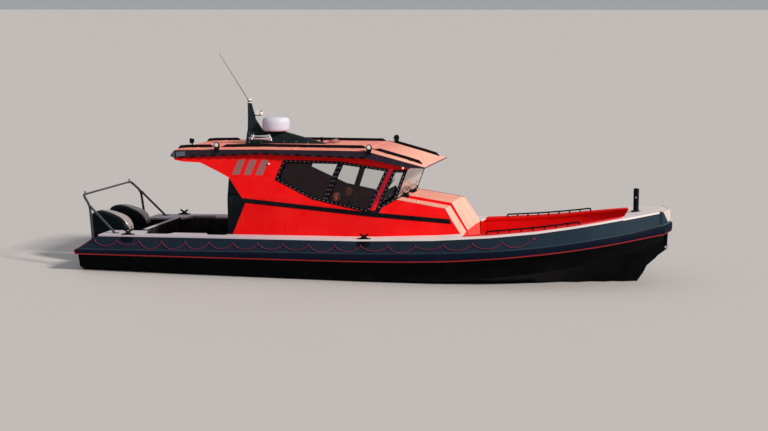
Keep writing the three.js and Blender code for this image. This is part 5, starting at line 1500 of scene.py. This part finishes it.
def makeMastParts():
    fit = Shape()
    fit.turned(mastFittings["lamp"], mastFittings["top"], segments=28)
    fit.turned(mastFittings["lampBand"], mastFittings["top"], segments=28, look=1)
    fit.turned(mastFittings["lens"], mastFittings["lensPlace"], (1, 0, 0), 24, look=2)
    fit.block(*mastFittings["lensBox"])
    fit.turned(mastFittings["dome"], mastFittings["domePlace"], segments=24)
    for z in mastFittings["pins"]:
        fit.tube([(-2.6, -0.135, z), (-2.45, -0.14, z)], 0.006, 8, look=1)
    makePiece("mastFittings", fit, ["lampWhite", "trimBlack", "windowTint"], "white_plastic", rounded=0.002)

    bolts = Shape()
    skin = treeOf("mast")
    low = [(x, side, roofTop(x) + 0.035, 0.009, 0.005) for x in mastFittings["boltX"] for side in (-1, 1)]
    high = [(x, side, z, 0.008, 0.004) for z in (2.7, 2.8) for side in (-1, 1) for x in (-2.72, -2.62)]
    for x, side, z, reach, tip in low + high:
        where, normal = drop(skin, (x, side * 0.6, z), (0, -side, 0))
        if where is not None and abs(where.y) < 0.3:
            bolts.turned([(reach, -0.001), (reach, 0.004), (tip, 0.006)], where, normal, 8)
    makePiece("mastBolts", bolts, "steel", "mast_grey")


# Stern frame: one bent hoop, two struts, feet and lights
frameLines = {
    "foot": (-5.68, 1.42, 0.61),
    "knee": (-5.76, 1.365, 1.336),
    "corner": (-5.95, 1.255, 1.55),
    "strut": ((-5.757, 1.365, 1.332), (-5.19, 1.405, 0.785)),
    "reach": 0.026,
    "bar": 0.021,
    "light": (-5.95, 1.17, 1.556),
    "bolt": [(0.009, 0.009), (0.009, 0.014), (0.005, 0.017)],
    "flange": [(0.056, 0.0), (0.056, 0.01), (0.034, 0.014), (0.03, 0.034)],
    "lamp": [(0.018, 0.0), (0.018, 0.01), (0.0125, 0.014), (0.0125, 0.072)],
    "lens": [(0.012, 0.07), (0.012, 0.084), (0.008, 0.09), (0, 0.0905)],
}


def makeSternFrame():
    made = Shape()
    foot, knee, corner = (Vector(frameLines[k]) for k in ("foot", "knee", "corner"))
    foot = foot.lerp(knee, 0.03)
    inner = Vector((corner.x, 1.1, corner.z))
    (topX, topZ), (footX, footZ) = boat["slope"]
    lean = Vector((-(topZ - footZ), 0, topX - footX)).normalized()
    for side in (-1, 1):
        line = [Vector((p.x, p.y * side, p.z)) for p in (foot, knee, corner, inner)]
        made.tube(rounded(line, 0.1, 8), frameLines["reach"], 20)
        high, low = (Vector((x, y * side, z)) for x, y, z in frameLines["strut"])
        made.tube([high, low], 0.023, 18)
        made.turned([(0.027, 0), (0.027, 0.05), (0.024, 0.056)], high.lerp(low, 0.03), (low - high), 18)
        deck = Vector((low.x, low.y, stationAt(low.x)["cap"] + 0.0005))
        made.block(deck + Vector((-0.065, -0.05, 0)), deck + Vector((0.065, 0.05, 0.01)))
        for dy, dx in grid((-0.035, 0.035), (-0.05, 0.05)):
            made.turned(frameLines["bolt"], deck + Vector((dx, dy, 0)), segments=6, look=1)
        made.turned(frameLines["flange"], (foot.x, foot.y * side, slopeZ(foot.x) + 0.001), lean, 24)
        x, y, z = frameLines["light"]
        made.turned(frameLines["lamp"], (x, y * side, z), segments=16)
        made.turned(frameLines["lens"], (x, y * side, z), segments=16, look=2)
    made.tube([(corner.x, -1.14, corner.z), (corner.x, 1.14, corner.z)], frameLines["bar"], 16)
    makePiece("sternFrameTubes", made, ["frameGrey", "steel", "lampWhite"], "trim_black",
              replaces=["stern_frame"], rounded=0.001)


wellTrim = {
    "coaming": ((-4.756, -0.978, 0.8275), (-4.664, 0.978, 0.834)),
    "coverY": (-0.6, 0.6),
    "latch": [(0.016, 0), (0.016, 0.004), (0.01, 0.006)],
    "hoseY": (-0.8, 0.8),
    "hose": ((-5.06, 0.105), (-5.0, 0.15), (-4.9, 0.165), (-4.82, 0.2), (-4.735, 0.28)),      # [x, z] from the floor
}


def makeWellTrim():
    made = Shape()
    made.block(*wellTrim["coaming"])
    for y in wellTrim["coverY"]:
        made.block((-4.759, y - 0.16, 0.16), (-4.754, y + 0.16, 0.3), look=1)
        made.turned(wellTrim["latch"], (-4.7595, y + 0.12, 0.23), (-1, 0, 0), 12, look=2)
    for y in wellTrim["hoseY"]:
        made.tube(rounded([(x, y, z) for x, z in wellTrim["hose"]], 0.06), 0.028, 14, look=3)
    makePiece("wellTrim", made, ["capPale", "trimBlack", "steel", "rubberBlack"], "trim_black", rounded=0.003)


# Outboards: dark cowls drawn through smooth frames, with a silver shell over the ridge and the front
motorY = -0.48
cowl = {
    # x, bottom, top, half width at the waist
    "frames": [(-5.2235, 0.545, 0.76, 0.115), (-5.232, 0.45, 0.85, 0.17), (-5.3, 0.386, 0.965, 0.224),
               (-5.42, 0.379, 1.045, 0.254), (-5.64, 0.379, 1.112, 0.27), (-5.78, 0.379, 1.133, 0.266),
               (-5.95, 0.4, 1.124, 0.236), (-6.045, 0.62, 1.092, 0.185), (-6.084, 0.86, 1.055, 0.13)],
    "around": [(0.72, 0.0), (0.92, 0.035), (1.0, 0.12), (1.0, 0.27), (0.995, 0.42)],
    "waist": 0.45,
    "silverEnd": -5.86,
    "proud": 0.004,
}


def cowlPoint(frame, turn, out=0.0):
    # a point of the upper part: turn runs from 0 at the waist to a quarter at the ridge and on to the other side
    x, low, high, wide = frame
    foot = low + cowl["waist"] * (high - low) + 0.016
    bend = math.sin(turn)
    w = wide * 0.93 * math.copysign(abs(math.cos(turn)) ** 0.62, math.cos(turn))
    grow = out / max(wide, 0.1)
    return Vector((x + out * 0.3, motorY + w * (1 + grow), foot + (high - foot) * bend ** 0.78 + out * bend))


def makeCowls():
    frames = throughPoints(cowl["frames"], 5)
    rings = []
    for x, low, high, wide in frames:
        rise = high - low
        half = [(w * wide, low + share * rise) for w, share in cowl["around"]]
        half += [(wide, low + cowl["waist"] * rise), (wide * 0.93, low + cowl["waist"] * rise + 0.012)]
        upper = [cowlPoint((x, low, high, wide), math.pi * k / 20) for k in range(1, 20)]
        rings.append([(x, motorY + w, z) for w, z in half] + upper + [(x, motorY - w, z) for w, z in half[::-1]])
    made = skinned(rings)
    # three grooved lines on each side and a handle
    for side, k in grid((-1, 1), range(3)):
        z = 0.475 + 0.032 * k
        path = [(x, motorY + side * out, z) for x, out in ((-5.9, 0.238), (-5.72, 0.268), (-5.5, 0.266))]
        made.tube(path, 0.005, 8, look=1)
    made.tube([(-6.078, -0.58, 0.885), (-6.09, motorY, 0.885), (-6.078, -0.38, 0.885)], 0.012, 10, look=1)
    makePair("cowlSkin", made, ["motorDark", "legPale"], "motor_dark", replaces=["motor_cowl"], body="motor", sharp=38)

    rings = []
    first, last = cowl["frames"][0][0], cowl["silverEnd"]
    for frame in (frame for frame in frames if frame[0] >= last):
        share = max(0.0, (first - frame[0]) / (first - last))
        edge = 0.62 + 0.8 * share ** 0.42
        turns = [edge + (math.pi - 2 * edge) * k / 20 for k in range(21)]
        outer = [cowlPoint(frame, t, cowl["proud"] if 0 < k < 20 else 0.0005) for k, t in enumerate(turns)]
        rings.append([*outer, *[cowlPoint(frame, t, -0.002) for t in reversed(turns)]])
    makePair("cowlRidge", skinned(rings), "motorSilver", "motor_dark", body="motor", sharp=50, levels=1)


legParts = {
    "bolt": [(0.01, 0), (0.01, 0.005), (0.006, 0.008)],
    "plateBolt": [(0.014, 0), (0.014, 0.006), (0.008, 0.009)],
    "anode": [(0.03, 0), (0.03, 0.014), (0.018, 0.02)],
}
bracketParts = {
    "boltPlaces": ((-5.455, 0.305), (-5.475, 0.18), (-5.475, 0.02), (-5.475, -0.1)),      # [x, z]
    "bolt": [(0.018, 0), (0.018, 0.004), (0.013, 0.005), (0.013, 0.013), (0.009, 0.016)],
    "nut": [(0.034, 0), (0.034, 0.006), (0.025, 0.01), (0.025, 0.02), (0, 0.024)],
}


def makeLegs():
    y = motorY
    made = Shape()
    for side in (-1, 1):
        for x in (-5.62, -5.74, -5.86):
            made.turned(legParts["bolt"], (x, y + side * 0.158, 0.362), (0, side, 0), 6, look=1)
        for k in range(5):
            x, z = -5.74 - 0.01 * k, -0.36 - 0.024 * k
            made.block((x - 0.04, y + side * 0.04, z), (x + 0.04, y + side * 0.052, z + 0.008))
        made.turned(legParts["plateBolt"], (-5.83, y + side * 0.118, -0.335), (1, 0, 0), 8, look=1)
        made.tube([(-5.8, y + side * 0.06, 0.3), (-5.8, y + side * 0.058, -0.08)], 0.01, 8)
    made.turned(legParts["anode"], (-5.92, y, -0.362), (0, 0, -1), 20, look=1)
    made.block((-5.96, y - 0.012, -0.39), (-5.9, y + 0.012, -0.356), look=1)
    made.tube([(-5.655, y, -0.105), (-5.655, y, -0.16)], 0.03, 20)
    makePair("legParts", made, ["legDark", "steel"], "motor_dark", body="motor", rounded=0.002)

    bracket = Shape()
    for side in (-1, 1):
        for x, z in bracketParts["boltPlaces"]:
            bracket.turned(bracketParts["bolt"], (x, y + side * 0.1532, z), (0, side, 0), 6, look=1)
        bracket.turned(bracketParts["nut"], (-5.42, y + side * 0.166, 0.29), (0, side, 0), 24, look=1)
    makePair("bracketBolts", bracket, ["legDark", "steel"], "motor_dark", rounded=0.001)


propeller = {
    "z": -0.57,
    "x": -6.04,
    "hub": [(0.05, 0.0), (0.052, 0.01), (0.052, 0.035), (0.048, 0.085), (0.042, 0.1155), (0.034, 0.1195),
            (0.03, 0.11), (0, 0.108)],
    "nut": [(0.02, 0), (0.02, 0.01), (0.013, 0.013), (0.013, 0.022), (0, 0.023)],
    "reach": (0.042, 0.1925),      # of the blades, from root to tip
    "pitch": 0.36,      # metres a turn
    "rows": 12,
}


def bladeRing(share):
    # the blade's section at a share of its reach, for a blade that points up
    root, tip = propeller["reach"]
    r = root + (tip - root) * share
    pitch = math.atan2(propeller["pitch"], 2 * math.pi * r)
    width = 0.06 * math.sqrt(max(1e-3, math.sin(math.pi * (0.18 + 0.79 * share)))) * (1.05 - 0.1 * share)
    sweep, rake = 0.02 * share ** 2, 0.012 * share
    thick = 0.007 * (1 - 0.75 * share) + 0.0012
    ring = []
    for cosine, sine in circle(1, 16):
        c = width * cosine - sweep
        t = thick * sine + 0.01 * (1 - (c / 0.07) ** 2) * 0.3
        back = -(c * math.sin(pitch)) - t * math.cos(pitch) - rake
        angle = (c * math.cos(pitch) - t * math.sin(pitch)) / r
        ring.append(Vector((back + propeller["x"], r * math.sin(angle), r * math.cos(angle))))
    return ring


def makePropellers():
    y, z, rows = motorY, propeller["z"], propeller["rows"]
    made = Shape()
    made.turned(propeller["hub"], (-5.9858, y, z), (-1, 0, 0), 40)
    made.turned(propeller["nut"], (-6.09, y, z), (-1, 0, 0), 6)
    for number in range(3):
        turn = Matrix.Rotation(math.radians(120 * number), 3, "X")
        made.skin([[Vector((p.x, 0, 0)) + turn @ Vector((0, p.y, p.z)) + Vector((0, y, z))
                    for p in bladeRing(k / (rows - 1))] for k in range(rows)])
    makePair("propellerBlades", made, "steel", "propeller_steel", replaces=["propeller"], body="screw", sharp=50)


# Bow fittings and fore rails
bowFittings = {
    "x": 5.28, "cap": 1.375, "top": 1.84, "pin": 1.675,
    # the post as [reach, height] over the deck, then as [reach, depth] under its top
    "foot": [(0.1, -0.004), (0.1, 0.014), (0.096, 0.02), (0.062, 0.022), (0.056, 0.03), (0.054, 0.06)],
    "head": [(0.054, 0.02), (0.051, 0.006), (0.044, 0), (0, 0)],
    "pinEnd": ((0.04, 0.013), (0.105, 0.013), (0.115, 0.015), (0.119, 0.01)),      # distance to the side, reach
    "knee": [(5.69, 0.56), (5.69, 0.488), (5.76, 0.548), (5.84, 0.612), (5.905, 0.662), (5.914, 0.672),
             (5.914, 0.722), (5.834, 0.73)],
    "eye": [(0.03, 0.0), (0.03, 0.006), (0.025, 0.009), (0.013, 0.009), (0.011, 0.001)],
    "eyePlace": (5.884, 0.0245, 0.698),
}
foreRail = {"from": (2.51, 1.3), "to": (4.28, 1.05), "height": 0.062, "spans": 8, "reach": 0.016, "post": 0.014}


def makeBowFittings():
    x, cap, top, pin = (bowFittings[key] for key in ("x", "cap", "top", "pin"))
    post = Shape()
    head = [(r, top - cap - down) for r, down in bowFittings["head"]]
    post.turned([*bowFittings["foot"], *head], (x, 0, cap + 0.002), segments=40)
    for a in range(6):
        angle = math.pi / 3 * a + 0.3
        place = (x + 0.081 * math.cos(angle), 0.081 * math.sin(angle), cap)
        post.turned([(0.011, 0.018), (0.011, 0.026), (0.006, 0.03)], place, segments=6, look=1)
    for side in (-1, 1):
        ends = bowFittings["pinEnd"]
        post.tube([(x, out * side, pin) for out, _ in ends], 0.013, 16, look=1, reaches=[reach for _, reach in ends])
    makePiece("bowPostTurned", post, ["trimBlack", "steel"], "trim_black", replaces=["bow_post"], sharp=40)

    knee = skinned(slices(bowFittings["knee"], (-0.025, 0.025)))
    makePiece("stemKnee", knee, "hullBlack", "trim_black", sharp=30, rounded=0.003)

    eye = Shape()
    x, y, z = bowFittings["eyePlace"]
    for side in (-1, 1):
        eye.turned(bowFittings["eye"], (x, y * side, z), (0, side, 0), 28)
    makePiece("towingEye", eye, "steel", "propeller_steel", sharp=40)


def makeForeRails():
    made = Shape()
    (x0, y0), (x1, y1) = foreRail["from"], foreRail["to"]

    def place(share, up):
        x, y = x0 + (x1 - x0) * share, y0 + (y1 - y0) * share
        return Vector((x, -y, stationAt(x)["cap"] + up))

    top = [place(0, 0.001), *[place(k / 12, foreRail["height"]) for k in range(13)], place(1, 0.001)]
    made.tube(rounded(top, 0.045), foreRail["reach"], 14)
    for i in range(foreRail["spans"] + 1):
        share = i / foreRail["spans"]
        if 0 < i < foreRail["spans"]:
            made.tube([place(share, 0.001), place(share, foreRail["height"])], foreRail["post"], 10)
        made.turned([(0.026, 0.0), (0.026, 0.006), (0.014, 0.01)], place(share, 0.0005), segments=16)
    makePair("foreRails", made, "railDark", "trim_black", replaces=["foredeck_rail"])


# Hull: spray rails and keel band
hullLines = {
    # x and the chine's half breadth
    "chine": [(-5.98, 1.44), (-4.0, 1.495), (-2.0, 1.505), (0.0, 1.495), (1.5, 1.44), (2.6, 1.32), (3.5, 1.13),
              (4.2, 0.9), (4.7, 0.7), (5.08, 0.52)],
    "from": -5.42,
    "strakes": (0.36, 0.66),
    "strakeEnd": 3.3,
    "keelBand": ((-0.03, 0.002), (0.03, 0.002), (0.026, -0.007), (-0.026, -0.007)),      # y, height over the keel
}


def makeHullParts():
    skin = treeOf("hull")
    rows = [row for row in throughPoints(hullLines["chine"], 6) if row[0] >= hullLines["from"]]
    end = hullLines["strakeEnd"]
    rails = Shape()
    for share in hullLines["strakes"]:
        rings = []
        for x, breadth in rows:
            where, _ = drop(skin, (x, -breadth * share, -2), (0, 0, 1))
            if x > end or where is None:
                continue
            y, z = where.y, where.z
            fade = max(0.12, min(1.0, (end - x) / 0.6, (x + 5.46) / 0.05))
            rings.append([(x, y + 0.03, z + 0.004), (x, y - 0.03, z + 0.01),
                          (x, y - 0.034, z - 0.022 * fade), (x, y - 0.026, z - 0.026 * fade)])
        rails.skin(rings)
    makePair("sprayRails", rails, "hullBlack", "hull_black", sharp=30)

    rings = []
    for x, _ in rows:
        where, _ = drop(skin, (x, 0, -2), (0, 0, 1))
        if where is not None:
            rings.append([(x, y, where.z + up) for y, up in hullLines["keelBand"]])
    makePiece("keelBand", skinned(rings), "steel", "propeller_steel", sharp=30)


# Hatches in the cabin's sole and in the fore cockpit
hatches = {
    "sole": ((-3.85, 0.62, 0.62), (-1.9, 0.55, 0.42)),      # x, length, breadth
    "fore": ((2.7, 0.7, 0.8), (4.2, 0.5, 0.55)),
}


def makeHatch(shape, x, z, length, breadth, levels, rim, latch, way, turn=None, slope=0.0):
    # a frame, a lid inside its rim and a flush latch
    long, wide = length / 2, breadth / 2
    low, high, lidLow, lidHigh, tread = levels
    for look, edge, foot, head in ((0, 0, low, high), (1, rim, lidLow, lidHigh)):
        shape.block((x - long + edge, -wide + edge, z + foot), (x + long - edge, wide - edge, z + head), look=look,
                    turn=turn, pivot=(x, 0, z))
    profile = [(0.035, tread + 0.001), (0.035, tread + 0.004), (0.02, tread + 0.002), (0, tread + 0.002)]
    shape.turned(profile, (x + way * long - way * latch, 0, z), (-math.sin(slope), 0, math.cos(slope)), 20, look=2)


def cockpitFloor(x):
    return 0.6 if x < 3.5 else 0.6 + (x - 3.5) * 0.26 / 1.7


def makeDeckFittings():
    sole = Shape()
    for x, length, breadth in hatches["sole"]:
        makeHatch(sole, x, 0.35, length, breadth, (0, 0.006, 0.005, 0.01, 0.008), 0.02, 0.08, 1)
    makePiece("soleHatches", sole, ["trimBlack", "treadDark", "steel"], "sole_dark", rounded=0.003)

    fore = Shape()
    for x, length, breadth in hatches["fore"]:
        z = cockpitFloor(x)
        slope = math.atan2(cockpitFloor(x + 0.1) - z, 0.1)
        makeHatch(fore, x, z, length, breadth, (-0.001, 0.008, 0.007, 0.012, 0.01), 0.025, 0.09, -1,
                  turn=Matrix.Rotation(-slope, 3, "Y"), slope=slope)
    makePiece("foreHatches", fore, ["rescueRed", "treadRed", "steel"], "rescue_red", rounded=0.003)


# Trunk: pale strips along the hood's edges, a painted highlight, housings at the foot of the windscreen and small
# lights
trunkParts = {
    "strip": ((1.655, 1.5), (1.7, 1.42), (1.8, 1.27), (1.9, 1.11), (1.97, 0.99)),      # [x, z]
    "stripY": 0.515,
    "section": ((-0.014, -0.001), (0.014, -0.001), (0.012, 0.006), (-0.012, 0.006)),
    "boxY": (-0.52, 0.26),
    "box": ((0.64, 1.63), (0.88, 1.588), (0.76, 1.638), (0.72, 1.69)),      # [x, z]
    "dot": (1.03, -0.8, 3.0),
    "dotShape": [(0.026, -0.001), (0.026, 0.006), (0.018, 0.014), (0, 0.016)],
    "nav": (0.8, -1.135, 2.26),
    "navShape": [(0.02, 0.0), (0.023, 0.01), (0.023, 0.022), (0.017, 0.03), (0, 0.033)],
}


def makeTrunkParts():
    skin = treeOf("trunk")
    strips = Shape()
    for y in (-trunkParts["stripY"], trunkParts["stripY"]):
        found = [drop(skin, (x + 1.5, y, z), (-1, 0, 0)) for x, z in trunkParts["strip"]]
        strips.skin([[where + Vector((0, d, 0)) + normal * h for d, h in trunkParts["section"]]
                     for where, normal in found if where is not None])
    makePiece("hoodHighlightStrips", strips, "capPale", "deck_pale", sharp=30)

    boxes = Shape()
    for y in trunkParts["boxY"]:
        boxes.plate([(x, y, z) for x, z in trunkParts["box"]], (0, 0.15, 0))
    makePiece("wiperBoxes", boxes, "trimBlack", "trim_black", rounded=0.003)

    light = Shape()
    where, normal = drop(treeOf("trunk", "cabin_side_starboard"), trunkParts["dot"], (0, 0, -1))
    light.turned(trunkParts["dotShape"], where, normal, 20)
    light.turned(trunkParts["navShape"], trunkParts["nav"], (0.3, -1, -0.4), 20)
    makePair("trunkLights", light, "lampWhite", "white_plastic")


pieceMakers = [
    makeCollar, makeStripe, makeBow, makeLifeline, makeBollards, makeWindowFittings, makePostShade, makeBars, makeSideLamps,
    makeFascia, makeWipers, makeHelmScreens, makeHelmWheel, makeDoorFittings, makeSeats, makeRoofRails, makeRoofDetails,
    makeFloodlights, makeRadome, makeHorn, makeMastParts, makeSternFrame, makeWellTrim, makeCowls, makeLegs,
    makePropellers, makeBowFittings, makeForeRails, makeHullParts, makeDeckFittings, makeTrunkParts,
]
for maker in pieceMakers:
    maker()
    print("made", maker.__name__)


# Studio: a pale floor at the waterline, an even sky and a low sun ahead of the boat
studio = {
    "floor": (0.63, 0.6, 0.59),
    "reach": 3000,
    "sky": (0.84, 0.86, 0.9),
    "skyStrength": 0.42,
    "sun": ((0.8, -0.36, 0.48), 3.4, 7),     # where it stands, strength, how wide it looks in degrees
    "sunColour": (1.0, 0.93, 0.86),
}


def makeStudio():
    reach = studio["reach"]
    floor = bpy.data.meshes.new("studioFloor")
    corners = [(-reach, -reach, 0), (reach, -reach, 0), (reach, reach, 0), (-reach, reach, 0)]
    floor.from_pydata(corners, [], [(0, 1, 2, 3)])
    look, web, shader = startLook("floorPale")
    faint = web.noise(web.place(), 0.35, 5.0)
    web.plug(web.mix(faint, tuple(0.97 * c for c in studio["floor"]), studio["floor"]), shader["Base Color"])
    shader["Roughness"].default_value = 0.85
    floor.materials.append(look)
    linked("studioFloor", floor)
    world = bpy.data.worlds.new("studioSky")
    world.use_nodes = True
    bpy.context.scene.world = world
    sky = world.node_tree.nodes["Background"].inputs
    sky[0].default_value = (*studio["sky"], 1)
    sky[1].default_value = studio["skyStrength"]
    place, strength, wide = studio["sun"]
    data = bpy.data.lights.new("softSun", "SUN")
    data.energy, data.angle, data.color = strength, math.radians(wide), studio["sunColour"]
    linked("softSun", data).rotation_euler = Vector(place).to_track_quat("Z", "Y").to_euler()
    bpy.context.scene.view_settings.view_transform = "Standard"


makeStudio()
print("studio is lit")
